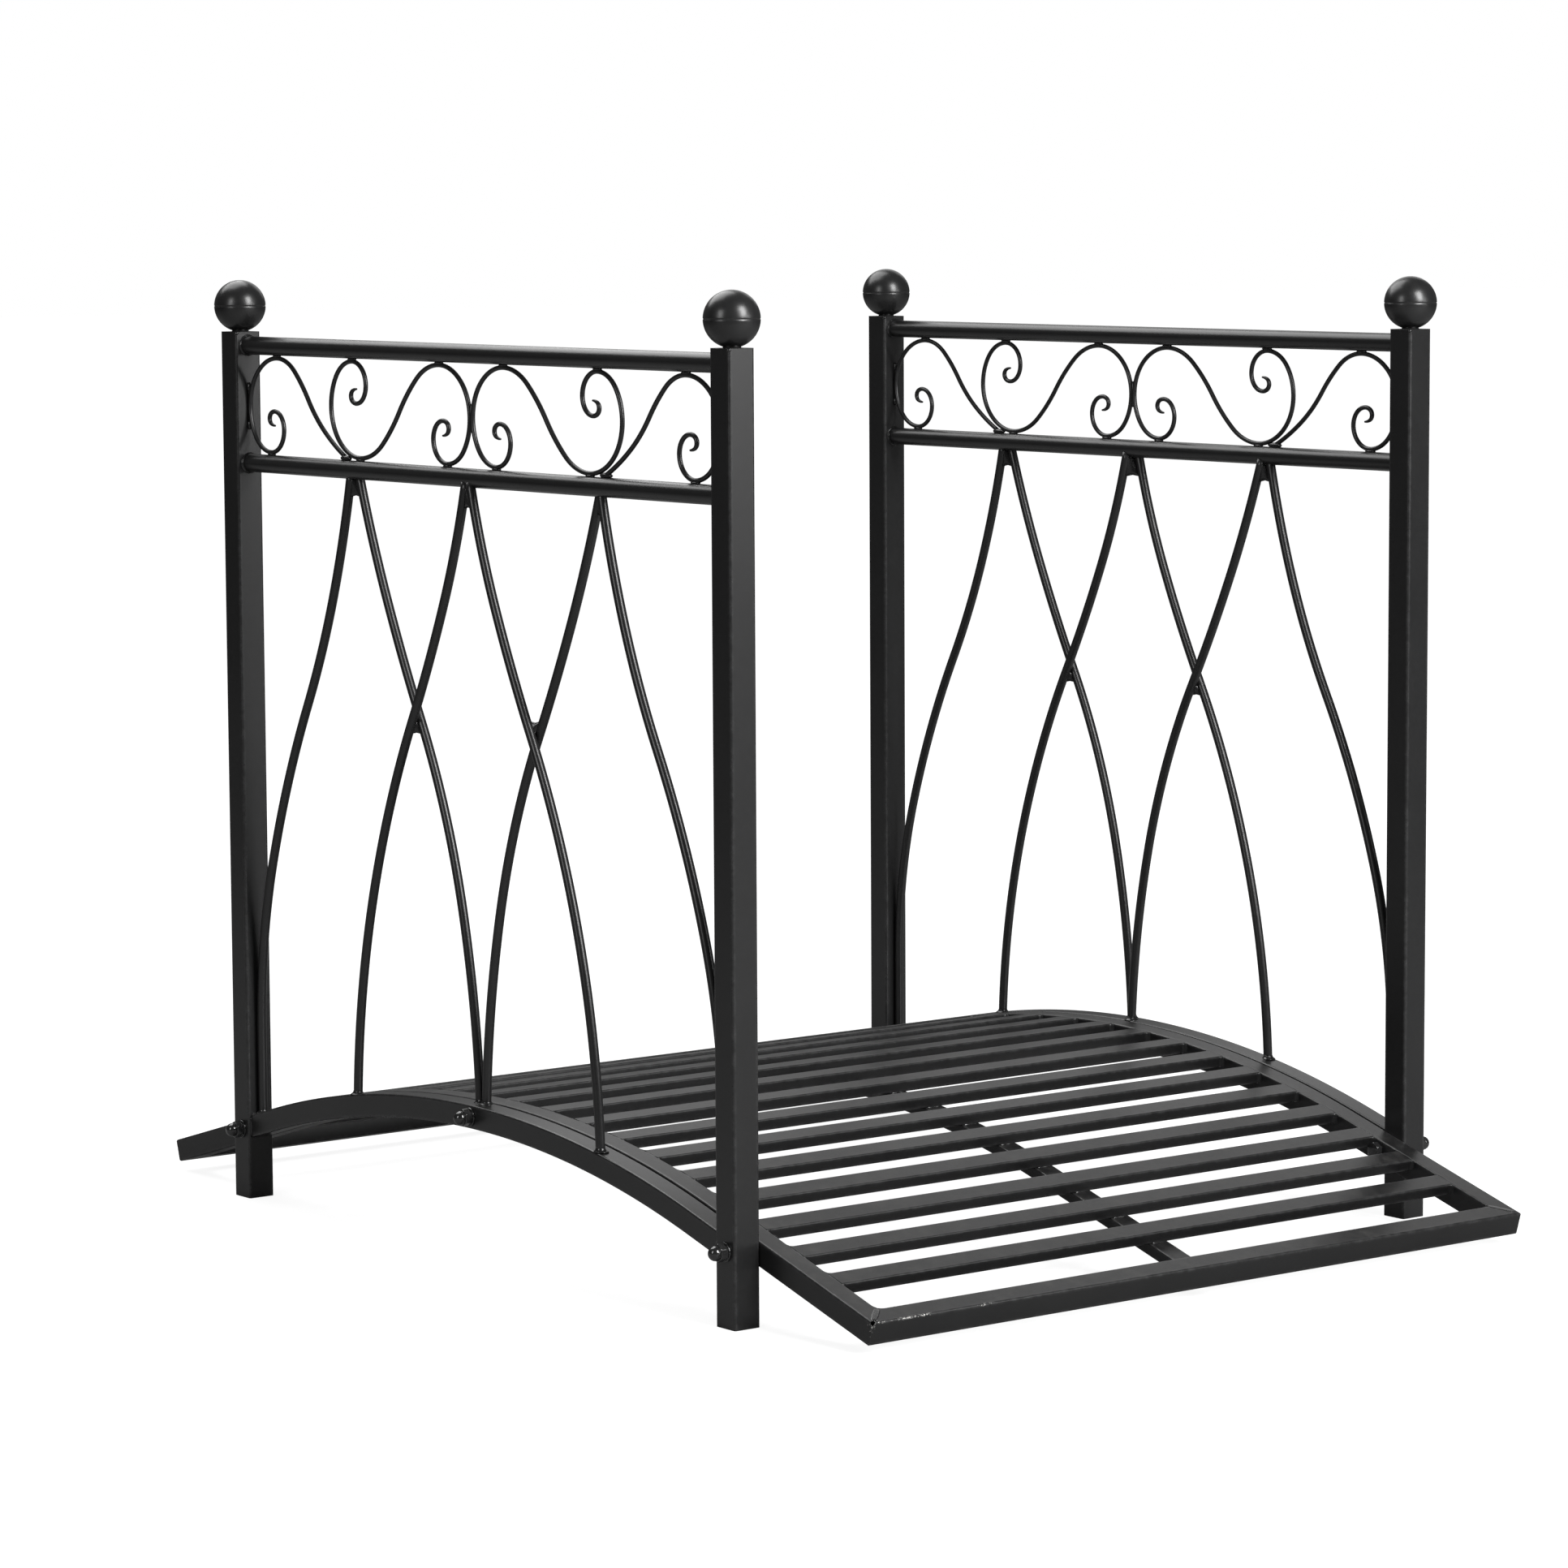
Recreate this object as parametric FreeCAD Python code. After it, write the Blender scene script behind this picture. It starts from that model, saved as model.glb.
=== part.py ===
"""Arched garden bridge in powder coated steel: a slatted deck frame and two railings bolted to its sides.

X is the way one walks, Y is across the deck, Z is up. The origin is on the ground under the middle.
Sizes are in millimetres. Each node is built where it sits and written to parts/NODE.step.
"""
import FreeCAD
import Part
import math
import os

from FreeCAD import Vector

# deck frame
deck_length = 1022.35          # over both end bars
deck_width = 700.0             # over both side rails
crest_height = 130.0           # top of the deck at its middle
end_height = 27.0              # top edge of the deck at its two ends
tail_angle = 16.2              # slope of the straight tails, degrees
frame_tube = 20.0              # square tube of side rails, end bars and arch bars
frame_wall = 1.2
frame_corner = 1.6             # outer corner radius of the square tube
least_corner = 0.2             # inner corner radius of any tube, at the least
slat_width = 20.0
slat_height = 10.0
slat_wall = 1.0
slat_corner = 1.4
slats_each_side = 9            # besides the one at the crest
slat_end_gap = 44.5            # clear space from the last slat to the end bar
spine_width = 20.0
spine_height = 10.0

# railings
post_spacing = 715.0           # between post centres, along X
post_size = 25.0
post_wall = 1.5
post_corner = 2.0
post_height = 768.0
rail_diameter = 16.0
rail_wall = 1.2
top_rail_drop = 12.0           # top rail's centre below the post's top
scroll_band = 102.5            # between the centres of top rail and mid rail
rod_diameter = 8.0
rod_pitch = 179.5              # from one apex to the next, and from one foot to the next
cross_rise = 0.614             # height of the rods' crossing, as a share of the way from crest to mid rail
cross_out = 0.485              # its distance from the middle, as a share of rod_pitch
cross_tilt = 28.5              # lean of the rods where they cross, degrees
outer_cross_out = 0.48         # where the outermost rods lean most, as a share of the way to the post
outer_foot_rise = 75.0         # length of the outermost rods that runs straight down the post
apex_tilt = {"outer": 12.0, "middle": 14.0, "inner": 18.0}   # lean of the rods at the mid rail, degrees
foot_tilt = {"middle": 2.0, "inner": 2.5}                    # and at the arch bar
wire_diameter = 4.0
inner_scroll_reach = 0.616     # far side of the inner scrolls, as a share of the half span
scroll_fall = 54.0             # slope of a scroll's long stretch, degrees
tail_fall = 27.0               # slope of the outer scroll's end
tail_inset = 0.26              # that end, short of the inner scroll's far side, as a share of band_rise
tail_height = 0.2              # its height above the band's bottom
swing_out = 0.54               # steepest point of the outer scroll, as a share of the way from end to top
swing_up = 0.58                # and of band_rise

# ball finials
ball_diameter = 45.0
ball_wall = 1.5
ball_overlap = 0.2             # how far the ball's underside is flattened on the post
seam_groove = 0.5
collar_radius = 8.0
collar_height = 2.2
plug_thickness = 2.0

# bolts, washers and cap nuts
bolt_diameter = 8.0
bolt_hole = 9.0
head_flats = 13.0
head_height = 5.3
crown_share = 0.95             # round end face of a bolt's head or a nut, as a share of its flats
crown_chamfer = 30.0           # chamfer round that face, degrees
washer_diameter = 16.0
washer_thickness = 1.5
nut_flats = 13.0
nut_hex_height = 6.5
nut_height = 14.0
dome_diameter = 12.0
thread_depth = 10.0
thread_end_gap = 1.0            # from the bolt's end to the bottom of the nut's bore

# clearances
weld_gap = 0.3                 # root gap where a round bar is welded to its neighbour
plug_clearance = 0.3
thread_clearance = 0.1
washer_clearance = 0.4

# worked out from the sizes above
slope = math.radians(tail_angle)
rounding = frame_corner * (math.cos(slope) + math.sin(slope) - 1)
half_length = deck_length / 2 + rounding       # to the sharp corner outside the end bar's rounded edge
half_deck = deck_width / 2
arch_drop = crest_height - end_height
arch_radius = (half_length * math.tan(slope) - arch_drop) * math.cos(slope) / (1 - math.cos(slope))
arc_end_x = arch_radius * math.sin(slope)
arc_length = arch_radius * slope
tail_length = (half_length - arc_end_x) / math.cos(slope)
post_x = post_spacing / 2
half_span = post_x - post_size / 2
post_y = half_deck + post_size / 2
top_rail_z = post_height - top_rail_drop
mid_rail_z = top_rail_z - scroll_band
band_low = mid_rail_z + rail_diameter / 2 + weld_gap + wire_diameter / 2
band_high = top_rail_z - rail_diameter / 2 - weld_gap - wire_diameter / 2
band_rise = band_high - band_low
rod_top_z = mid_rail_z - rail_diameter / 2 - weld_gap
rod_radius = rod_diameter / 2
rod_layer = rod_radius + weld_gap / 2
cross_x = cross_out * rod_pitch
cross_z = crest_height + cross_rise * (rod_top_z - crest_height)
ball_centre_z = post_height + ball_diameter / 2 - ball_overlap


def arch_frame(distance):
    """Point on the deck's top surface at a distance along it from the crest, and its slope in radians."""
    side = math.copysign(1.0, distance)
    along = abs(distance)
    turn = min(along, arc_length) / arch_radius
    tail = max(along - arc_length, 0.0)
    x = arch_radius * math.sin(turn) + tail * math.cos(turn)
    z = crest_height - arch_radius * (1 - math.cos(turn)) - tail * math.sin(turn)
    return Vector(side * x, 0, z), side * turn


def arch_top_z(x):
    """Height of the deck's top surface at x."""
    if abs(x) < arc_end_x:
        return crest_height - arch_radius + math.sqrt(arch_radius ** 2 - x ** 2)
    past = abs(x) - arc_end_x
    return crest_height - arch_radius * (1 - math.cos(slope)) - past * math.tan(slope)


def rounded_rectangle(width, height, radius):
    """Closed wire in the YZ plane, centred on the origin: width along Y, height along Z."""
    y = width / 2
    z = height / 2
    k = radius * (1 - math.sqrt(0.5))
    edges = []
    for sy, sz in ((1, 1), (-1, 1), (-1, -1), (1, -1)):
        along_y = Vector(0, sy * (y - radius), sz * z)
        along_z = Vector(0, sy * y, sz * (z - radius))
        middle = Vector(0, sy * (y - k), sz * (z - k))
        pair = (along_z, along_y) if sy * sz > 0 else (along_y, along_z)
        edges.append(Part.Arc(pair[0], middle, pair[1]).toShape())
    lines = []
    for n, edge in enumerate(edges):
        nxt = edges[(n + 1) % 4]
        lines.append(Part.makeLine(edge.Vertexes[-1].Point, nxt.Vertexes[0].Point))
    ring = [edge for pair in zip(edges, lines) for edge in pair]
    return Part.Wire(ring)


def straight_tube(width, height, wall, radius, length):
    """Rectangular tube along X, from x = 0, centred on the X axis."""
    outer = Part.Face(rounded_rectangle(width, height, radius)).extrude(Vector(length, 0, 0))
    bore = rounded_rectangle(width - 2 * wall, height - 2 * wall, max(radius - wall, least_corner))
    return outer.cut(Part.Face(bore).extrude(Vector(length, 0, 0)))


def arch_path(depth, trim):
    """Line, arc and line at a depth under the deck's top surface, short of the deck's ends by trim."""
    radius = arch_radius - depth
    centre = Vector(0, 0, crest_height - arch_radius)
    start = centre + Vector(-radius * math.sin(slope), 0, radius * math.cos(slope))
    finish = Vector(-start.x, 0, start.z)
    run = Vector(math.cos(slope), 0, -math.sin(slope)) * (tail_length - trim)
    right = Part.makeLine(finish, finish + run)
    left = Part.makeLine(start + Vector(-run.x, 0, run.z), start)
    arc = Part.Arc(start, centre + Vector(0, 0, radius), finish).toShape()
    return Part.Wire([left, arc, right])


def arched_bar(width, height, radius, depth, trim):
    """Solid bar with rounded corners that follows the arch, its top face at a depth under the surface."""
    path = arch_path(depth + height / 2, trim)
    section = rounded_rectangle(width, height, radius)
    turned = FreeCAD.Placement(path.Vertexes[0].Point, FreeCAD.Rotation(Vector(0, 1, 0), -tail_angle))
    section.Placement = turned
    return path.makePipeShell([section], True, False)


def arched_tube(width, height, wall, radius, depth, trim):
    """Hollow bar that follows the arch."""
    outer = arched_bar(width, height, radius, depth, trim)
    inner_radius = max(radius - wall, least_corner)
    bore = arched_bar(width - 2 * wall, height - 2 * wall, inner_radius, depth + wall, trim)
    return outer.cut(bore)


def end_placement():
    """Local frame of the deck's end at X > 0, on its top outer edge: x down the slope, z off the deck."""
    corner = Vector(half_length, 0, end_height)
    return FreeCAD.Placement(corner, FreeCAD.Rotation(Vector(0, 1, 0), tail_angle))


def mitre_wedge():
    """What the end bar's mitre takes off the side rail at Y < 0 and X > 0."""
    reach = 2 * frame_tube
    corners = [
        Vector(reach, -half_deck - reach, -reach),
        Vector(-reach, -half_deck + reach, -reach),
        Vector(reach, -half_deck + reach, -reach),
    ]
    wedge = Part.Face(Part.makePolygon(corners + corners[:1])).extrude(Vector(0, 0, 2 * reach))
    wedge.Placement = end_placement()
    return wedge


def mirror_x(shape):
    return shape.mirror(Vector(0, 0, 0), Vector(1, 0, 0))


def mirror_y(shape):
    return shape.mirror(Vector(0, 0, 0), Vector(0, 1, 0))


def bolt_places():
    """Centre line of each bolt on the Y < 0 side: x, z and the y of the face that its washer sits on."""
    depth = frame_tube / 2
    post_z = arch_top_z(post_x) - depth / math.cos(slope)
    post_face = -half_deck - post_size
    arch_face = -post_y - frame_tube / 2
    middle = (0.0, crest_height - depth, arch_face)
    return [(-post_x, post_z, post_face), middle, (post_x, post_z, post_face)]


def bolt_drills():
    """Cylinders that drill every tube on the Y < 0 side for its bolts."""
    length = frame_tube + post_size + 4.0
    start_y = -half_deck - post_size - 2.0
    drills = []
    for x, z, face in bolt_places():
        drills.append(Part.makeCylinder(bolt_hole / 2, length, Vector(x, start_y, z), Vector(0, 1, 0)))
    return Part.Compound(drills)


# deck pieces

def make_deck_rail():
    """Arched side rail at Y < 0, mitred at both ends and drilled for the railing's bolts."""
    rail = arched_tube(frame_tube, frame_tube, frame_wall, frame_corner, 0.0, 0.0)
    rail.translate(Vector(0, -half_deck + frame_tube / 2, 0))
    wedge = mitre_wedge()
    return rail.cut(wedge).cut(mirror_x(wedge)).cut(bolt_drills())


def make_end_bar():
    """End bar at X > 0, mitred into both side rails."""
    bar = straight_tube(frame_tube, frame_tube, frame_wall, frame_corner, deck_width)
    bar.rotate(Vector(0, 0, 0), Vector(0, 0, 1), 90)
    bar.translate(Vector(-frame_tube / 2, -half_deck, -frame_tube / 2))
    reach = 2 * frame_tube
    for side in (-1, 1):
        corners = [
            Vector(0, side * half_deck, -reach),
            Vector(-reach, side * (half_deck - reach), -reach),
            Vector(-reach, side * (half_deck + reach), -reach),
            Vector(0, side * (half_deck + reach), -reach),
        ]
        bar = bar.cut(Part.Face(Part.makePolygon(corners + corners[:1])).extrude(Vector(0, 0, 2 * reach)))
    bar.Placement = end_placement().multiply(bar.Placement)
    return bar


def make_spine():
    """Centre bar under the slats, from one end bar to the other."""
    return arched_tube(spine_width, spine_height, slat_wall, slat_corner, slat_height, frame_tube)


def make_slat(index):
    """Cross slat between the side rails, index steps from the crest."""
    reach = arc_length + tail_length - frame_tube - slat_end_gap - slat_width / 2
    point, turn = arch_frame(index * reach / slats_each_side)
    length = deck_width - 2 * frame_tube
    slat = straight_tube(slat_width, slat_height, slat_wall, slat_corner, length)
    slat.rotate(Vector(0, 0, 0), Vector(0, 0, 1), 90)
    slat.translate(Vector(0, -length / 2, -slat_height / 2))
    slat.rotate(Vector(0, 0, 0), Vector(0, 1, 0), math.degrees(turn))
    slat.translate(point)
    return slat


# railing pieces, all built for the railing at Y < 0

def make_post():
    """Square tube post at X > 0."""
    post = straight_tube(post_size, post_size, post_wall, post_corner, post_height)
    post.rotate(Vector(0, 0, 0), Vector(0, 1, 0), -90)
    post.translate(Vector(post_x, -post_y, 0))
    return post.cut(bolt_drills())


def make_finial():
    """Hollow ball with its weld collar, on the plug that closes the post."""
    centre = Vector(0, 0, ball_centre_z)
    ball = Part.makeSphere(ball_diameter / 2, centre)
    below = Part.makeBox(ball_diameter, ball_diameter, post_height)
    below.translate(Vector(-ball_diameter / 2, -ball_diameter / 2, 0))
    groove = Part.makeTorus(ball_diameter / 2, seam_groove, centre)
    neck_drop = ball_diameter / 2 - ball_overlap - collar_height
    neck_radius = math.sqrt((ball_diameter / 2) ** 2 - neck_drop ** 2)
    collar = Part.makeCone(collar_radius, neck_radius, collar_height, Vector(0, 0, post_height))
    plug_side = post_size - 2 * post_wall - 2 * plug_clearance
    plug_face = Part.Face(rounded_rectangle(plug_side, plug_side, post_corner / 2))
    plug = plug_face.extrude(Vector(plug_thickness, 0, 0))
    plug.rotate(Vector(0, 0, 0), Vector(0, 1, 0), 90)
    plug.translate(Vector(0, 0, post_height))
    solid = ball.cut(below).cut(groove).fuse(collar).fuse(plug)
    finial = solid.cut(Part.makeSphere(ball_diameter / 2 - ball_wall, centre)).removeSplitter()
    finial.translate(Vector(post_x, -post_y, 0))
    return finial


def make_round_rail(height):
    """Round tube from post to post."""
    start = Vector(-half_span, -post_y, height)
    along = Vector(1, 0, 0)
    outer = Part.makeCylinder(rail_diameter / 2, 2 * half_span, start, along)
    return outer.cut(Part.makeCylinder(rail_diameter / 2 - rail_wall, 2 * half_span, start, along))


def make_arch_bar():
    """Arched bottom bar from post to post, drilled for the middle bolt."""
    bar = arched_tube(frame_tube, frame_tube, frame_wall, frame_corner, 0.0, 0.0)
    span = Part.makeBox(2 * half_span, 2 * frame_tube, 2 * crest_height)
    span.translate(Vector(-half_span, -frame_tube, -crest_height / 2))
    bar = bar.common(span)
    bar.translate(Vector(0, -post_y, 0))
    return bar.cut(bolt_drills())


def heading(degrees):
    """Unit vector in the XZ plane: 0 is +X and 90 is +Z."""
    return Vector(math.cos(math.radians(degrees)), 0, math.sin(math.radians(degrees)))


def tangent_arc(start, direction, finish):
    """Arc from start that leaves along direction and ends at finish."""
    chord = finish - start
    sine = chord.z * direction.x - chord.x * direction.z
    angle = math.atan2(sine, chord.dot(direction))
    if abs(angle) < 1e-4:
        return Part.makeLine(start, finish)
    across = Vector(chord.z, 0, -chord.x) * (0.5 * math.tan(angle / 2))
    return Part.Arc(start, (start + finish) * 0.5 + across, finish).toShape()


def bent_path(stations):
    """Wire through stations of (x, z, heading), each pair joined by two tangent arcs."""
    edges = []
    for (x0, z0, h0), (x1, z1, h1) in zip(stations, stations[1:]):
        start = Vector(x0, 0, z0)
        finish = Vector(x1, 0, z1)
        leave = heading(h0)
        arrive = heading(h1)
        chord = finish - start
        both = leave + arrive
        a = 2 * (leave.dot(arrive) - 1)
        b = -2 * chord.dot(both)
        c = chord.dot(chord)
        reach = -c / b if abs(a) < 1e-9 else (-b - math.sqrt(b * b - 4 * a * c)) / (2 * a)
        joint = (start + leave * reach + finish - arrive * reach) * 0.5
        edges.append(tangent_arc(start, leave, joint))
        back = tangent_arc(finish, arrive * -1, joint)
        edges.append(back)
    return Part.Wire(Part.__sortEdges__(edges))


def bent_rod(stations, radius, y):
    """Round rod along a bent path in the plane at y."""
    path = bent_path(stations)
    x, z, turn = stations[0]
    ring = Part.Wire(Part.makeCircle(radius, Vector(x, 0, z), heading(turn)))
    rod = path.makePipeShell([ring], True, False)
    rod.translate(Vector(0, y, 0))
    return rod


def curl_stations(side_x, facing):
    """Small curl and big loop of a scroll whose loop bears on side_x. It opens to +X where facing is +1.

    The first two numbers are shares of the band's rise: out from side_x and up from the band's bottom.
    """
    shape = [
        (0.490, 0.285, 180),
        (0.382, 0.358, 90),
        (0.482, 0.436, 0),
        (0.663, 0.245, -90),
        (0.410, 0.000, -180),
        (0.000, 0.475, -270),
        (0.545, 1.000, -360),
    ]
    stations = []
    for out, up, turn in shape:
        angle = turn if facing > 0 else 180 - turn
        stations.append((side_x + facing * out * band_rise, band_low + up * band_rise, angle))
    return stations


def make_inner_scroll():
    """S scroll beside the railing's middle at X > 0, the same shape turned half round at its far end."""
    near = wire_diameter / 2 + weld_gap / 2
    far = inner_scroll_reach * half_span
    middle_x = (near + far) / 2
    middle_z = (band_low + band_high) / 2
    first = curl_stations(near, 1)
    middle = (middle_x, middle_z, -360 - scroll_fall)
    last = [(2 * middle_x - x, 2 * middle_z - z, turn) for x, z, turn in reversed(first)]
    return bent_rod(first + [middle] + last, wire_diameter / 2, -post_y)


def make_outer_scroll():
    """Scroll beside the post at X > 0: curl and loop, then a long tail down to the mid rail."""
    side = half_span - weld_gap - wire_diameter / 2
    loop = curl_stations(side, -1)
    end_x = inner_scroll_reach * half_span - tail_inset * band_rise
    top_x = loop[-1][0]
    swing_x = end_x + swing_out * (top_x - end_x)
    swing = (swing_x, band_low + swing_up * band_rise, 360 + 180 + scroll_fall)
    tail = (end_x, band_low + tail_height, 360 + 180 + tail_fall)
    return bent_rod(loop + [swing, tail], wire_diameter / 2, -post_y)


def trim_rod(rod):
    """Cut a rod level under the mid rail, and a root gap above the arch bar."""
    bar = arched_bar(frame_tube, frame_tube, frame_corner, 0.0, 0.0)
    bar.translate(Vector(0, -post_y, weld_gap))
    above = Part.makeBox(2 * post_x, 2 * post_size, scroll_band)
    above.translate(Vector(-post_x, -post_y - post_size, rod_top_z))
    return rod.cut(bar).cut(above)


def make_rod(kind, layer):
    """One ogee rod at X > 0, shifted in Y by layer, so that crossing rods pass each other.

    outer runs from the far apex to the post, middle from the middle apex outwards, inner from the far apex
    back to the middle.
    """
    beside = rod_layer / math.cos(math.radians(apex_tilt["inner"]))
    sink = frame_tube / 4
    start_z = rod_top_z + sink
    tilt = apex_tilt[kind]
    shift = sink * math.tan(math.radians(tilt))
    if kind == "outer":
        foot_x = half_span - weld_gap - rod_radius
        foot_z = arch_top_z(foot_x)
        stations = [
            (rod_pitch + beside - shift, start_z, -90 + tilt),
            (rod_pitch + outer_cross_out * (foot_x - rod_pitch), cross_z, -90 + cross_tilt),
            (foot_x, foot_z + outer_foot_rise, -90),
            (foot_x, foot_z - sink, -90),
        ]
    elif kind == "middle":
        stations = [
            (beside - shift, start_z, -90 + tilt),
            (cross_x, cross_z, -90 + cross_tilt),
            (rod_pitch, arch_top_z(rod_pitch) - sink, -90 + foot_tilt[kind]),
        ]
    else:
        stations = [
            (rod_pitch - beside + shift, start_z, -90 - tilt),
            (cross_x, cross_z, -90 - cross_tilt),
            (beside, crest_height - sink, -90 - foot_tilt[kind]),
        ]
    return trim_rod(bent_rod(stations, rod_radius, -post_y + layer))


# fasteners

def hexagon(flats, height):
    """Hexagonal prism along +Z from z = 0, with the corners of its upper end chamfered."""
    radius = flats / math.sqrt(3)
    corners = [Vector(radius * math.cos(math.radians(a)), radius * math.sin(math.radians(a)), 0)
               for a in range(0, 361, 60)]
    prism = Part.Face(Part.makePolygon(corners)).extrude(Vector(0, 0, height))
    crown = crown_share * flats / 2
    foot = crown + height / math.tan(math.radians(crown_chamfer))
    return prism.common(Part.makeCone(foot, crown, height))


def make_stud(reach):
    """Shank of a bolt along -Z, reaching down from z = 0."""
    return Part.makeCylinder(bolt_diameter / 2, reach, Vector(0, 0, -reach))


def make_bolt(reach):
    """Hexagon bolt along -Z, its head's seat at z = 0."""
    return hexagon(head_flats, head_height).fuse(make_stud(reach)).removeSplitter()


def make_cap_nut():
    """Cap nut along -Z, its seat at z = 0."""
    hexed = hexagon(nut_flats, nut_hex_height)
    dome_radius = dome_diameter / 2
    straight = nut_height - nut_hex_height - dome_radius
    skirt = Part.makeCylinder(dome_radius, nut_hex_height + straight)
    dome = Part.makeSphere(dome_radius, Vector(0, 0, nut_hex_height + straight))
    bore = Part.makeCylinder(bolt_diameter / 2 + thread_clearance, thread_depth)
    nut = hexed.fuse(skirt).fuse(dome).removeSplitter().cut(bore)
    nut.rotate(Vector(0, 0, 0), Vector(1, 0, 0), 180)
    return nut


def make_washer():
    """Washer along -Z, its seat at z = 0."""
    ring = Part.makeCylinder(washer_diameter / 2, washer_thickness)
    hole = Part.makeCylinder(bolt_diameter / 2 + washer_clearance, washer_thickness)
    washer = ring.cut(hole)
    washer.translate(Vector(0, 0, -washer_thickness))
    return washer


def make_fasteners():
    """All bolts, and all cap nuts with their washers, on both sides of the bridge.

    Where a slat ends over the head's place, as at the crest, the bolt is a stud, flush with the side rail.
    """
    bolts = []
    nuts = []
    head_y = -half_deck + frame_tube
    slats = Part.Compound([make_slat(index) for index in range(-slats_each_side, slats_each_side + 1)])
    for x, z, face in bolt_places():
        grip = head_y - face + washer_thickness + thread_depth - thread_end_gap
        bolt = make_bolt(grip)
        stud = make_stud(grip)
        washer = make_washer()
        nut = make_cap_nut()
        nut.translate(Vector(0, 0, -washer_thickness))
        for piece, seat_y in ((bolt, head_y), (stud, head_y), (washer, face), (nut, face)):
            piece.rotate(Vector(0, 0, 0), Vector(1, 0, 0), -90)
            piece.translate(Vector(x, seat_y, z))
        if bolt.common(slats).Volume > 0:
            bolt = stud
        bolts += [bolt, mirror_y(bolt)]
        nuts += [washer, mirror_y(washer), nut, mirror_y(nut)]
    return Part.Compound(bolts), Part.Compound(nuts)


def write(name, shape):
    shape.exportStep("parts/" + name + ".step")
    print(name, round(shape.Volume / 1000, 2), "cm3", "solids", len(shape.Solids), "valid", shape.isValid())


def write_deck():
    rail = make_deck_rail()
    write("deck_rail_front", rail)
    write("deck_rail_rear", mirror_y(rail))
    end_bar = make_end_bar()
    write("end_bar_right", end_bar)
    write("end_bar_left", mirror_x(end_bar))
    write("deck_spine", make_spine())
    for n, index in enumerate(range(-slats_each_side, slats_each_side + 1), start=1):
        write("slat_%02d" % n, make_slat(index))


def write_railing(row, place, layers):
    """One railing. place puts a piece that was built for Y < 0; layers gives each crossing's shift in Y."""
    write("top_rail_" + row, place(make_round_rail(top_rail_z)))
    write("mid_rail_" + row, place(make_round_rail(mid_rail_z)))
    write("arch_bar_" + row, place(make_arch_bar()))
    halves = {
        "post": make_post(),
        "ball_finial": make_finial(),
        "inner_scroll": make_inner_scroll(),
        "outer_scroll": make_outer_scroll(),
        "outer_rod": make_rod("outer", 0.0),
    }
    for name, shape in halves.items():
        write(name + "_" + row + "_right", place(shape))
        write(name + "_" + row + "_left", place(mirror_x(shape)))
    for side, turn in (("right", lambda s: s), ("left", mirror_x)):
        layer = layers[side] * rod_layer
        write("middle_rod_" + row + "_" + side, place(turn(make_rod("middle", -layer))))
        write("inner_rod_" + row + "_" + side, place(turn(make_rod("inner", layer))))


os.makedirs("parts", exist_ok=True)
write_deck()
write_railing("front", lambda s: s, {"right": 1, "left": 1})
write_railing("rear", mirror_y, {"right": 1, "left": -1})
bolts, nuts = make_fasteners()
write("bolts", bolts)
write("cap_nuts", nuts)
print("arch radius", round(arch_radius, 1), "tail length", round(tail_length, 1))
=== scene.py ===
import bpy
import itertools
import math
import numpy as np
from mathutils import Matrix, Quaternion, Vector


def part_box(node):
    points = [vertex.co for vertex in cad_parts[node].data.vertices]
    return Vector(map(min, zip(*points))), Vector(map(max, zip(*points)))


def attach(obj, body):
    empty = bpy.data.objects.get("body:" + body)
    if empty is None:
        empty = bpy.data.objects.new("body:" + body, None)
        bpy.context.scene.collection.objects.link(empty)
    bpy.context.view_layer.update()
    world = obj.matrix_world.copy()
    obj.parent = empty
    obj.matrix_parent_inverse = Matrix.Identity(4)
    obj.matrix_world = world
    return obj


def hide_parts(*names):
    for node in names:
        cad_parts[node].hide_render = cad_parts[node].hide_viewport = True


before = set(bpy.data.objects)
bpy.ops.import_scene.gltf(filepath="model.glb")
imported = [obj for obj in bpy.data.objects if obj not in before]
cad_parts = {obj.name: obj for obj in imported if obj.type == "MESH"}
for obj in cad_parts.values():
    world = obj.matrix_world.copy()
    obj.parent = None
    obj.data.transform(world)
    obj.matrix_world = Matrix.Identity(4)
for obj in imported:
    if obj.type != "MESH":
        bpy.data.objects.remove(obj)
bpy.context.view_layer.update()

print("frame loaded:", len(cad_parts), "nodes")


cameraView = {
    "place": (3.652, -2.848, 0.890),
    "aim": (-0.0166, -0.0264, 0.3736),
    "lens": 122.57,
    "roll": -0.31,          # degrees
}

floorLook = {
    "size": 60.0, "colour": (0.28, 0.28, 0.28), "roughness": 0.7, "grain": 3.0, "grainShade": 0.985,
    "lift": 0.88, "near": 1.1, "far": 2.6,      # white added out to near; from far on it is full white
}

studioLights = {
    "keyBox": {"place": (3.3, 0.30, 2.3), "aim": (0.1, 0.0, 0.5), "size": (1.3, 2.2), "power": 185},
    "fillBox": {"place": (0.65, -3.9, 1.9), "aim": (0.1, 0.0, 0.5), "size": (1.0, 1.8), "power": 38},
    "backBox": {"place": (-1.6, -0.1, 2.7), "aim": (0.0, 0.0, 0.5), "size": (2.2, 2.2), "power": 55},
    "backPanel": {"place": (-2.7, 2.7, 2.5), "aim": (0.3, 0.0, 0.1), "size": (3.0, 2.2), "power": 19},
    "sidePanel": {"place": (3.15, 1.50, 1.05), "aim": (0.4, -0.4, 0.6), "size": (0.8, 1.0), "power": 13},
}
studioGlow = {"seen": 1.0, "around": 0.09}      # the world as the camera sees it, and as the metal does


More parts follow.
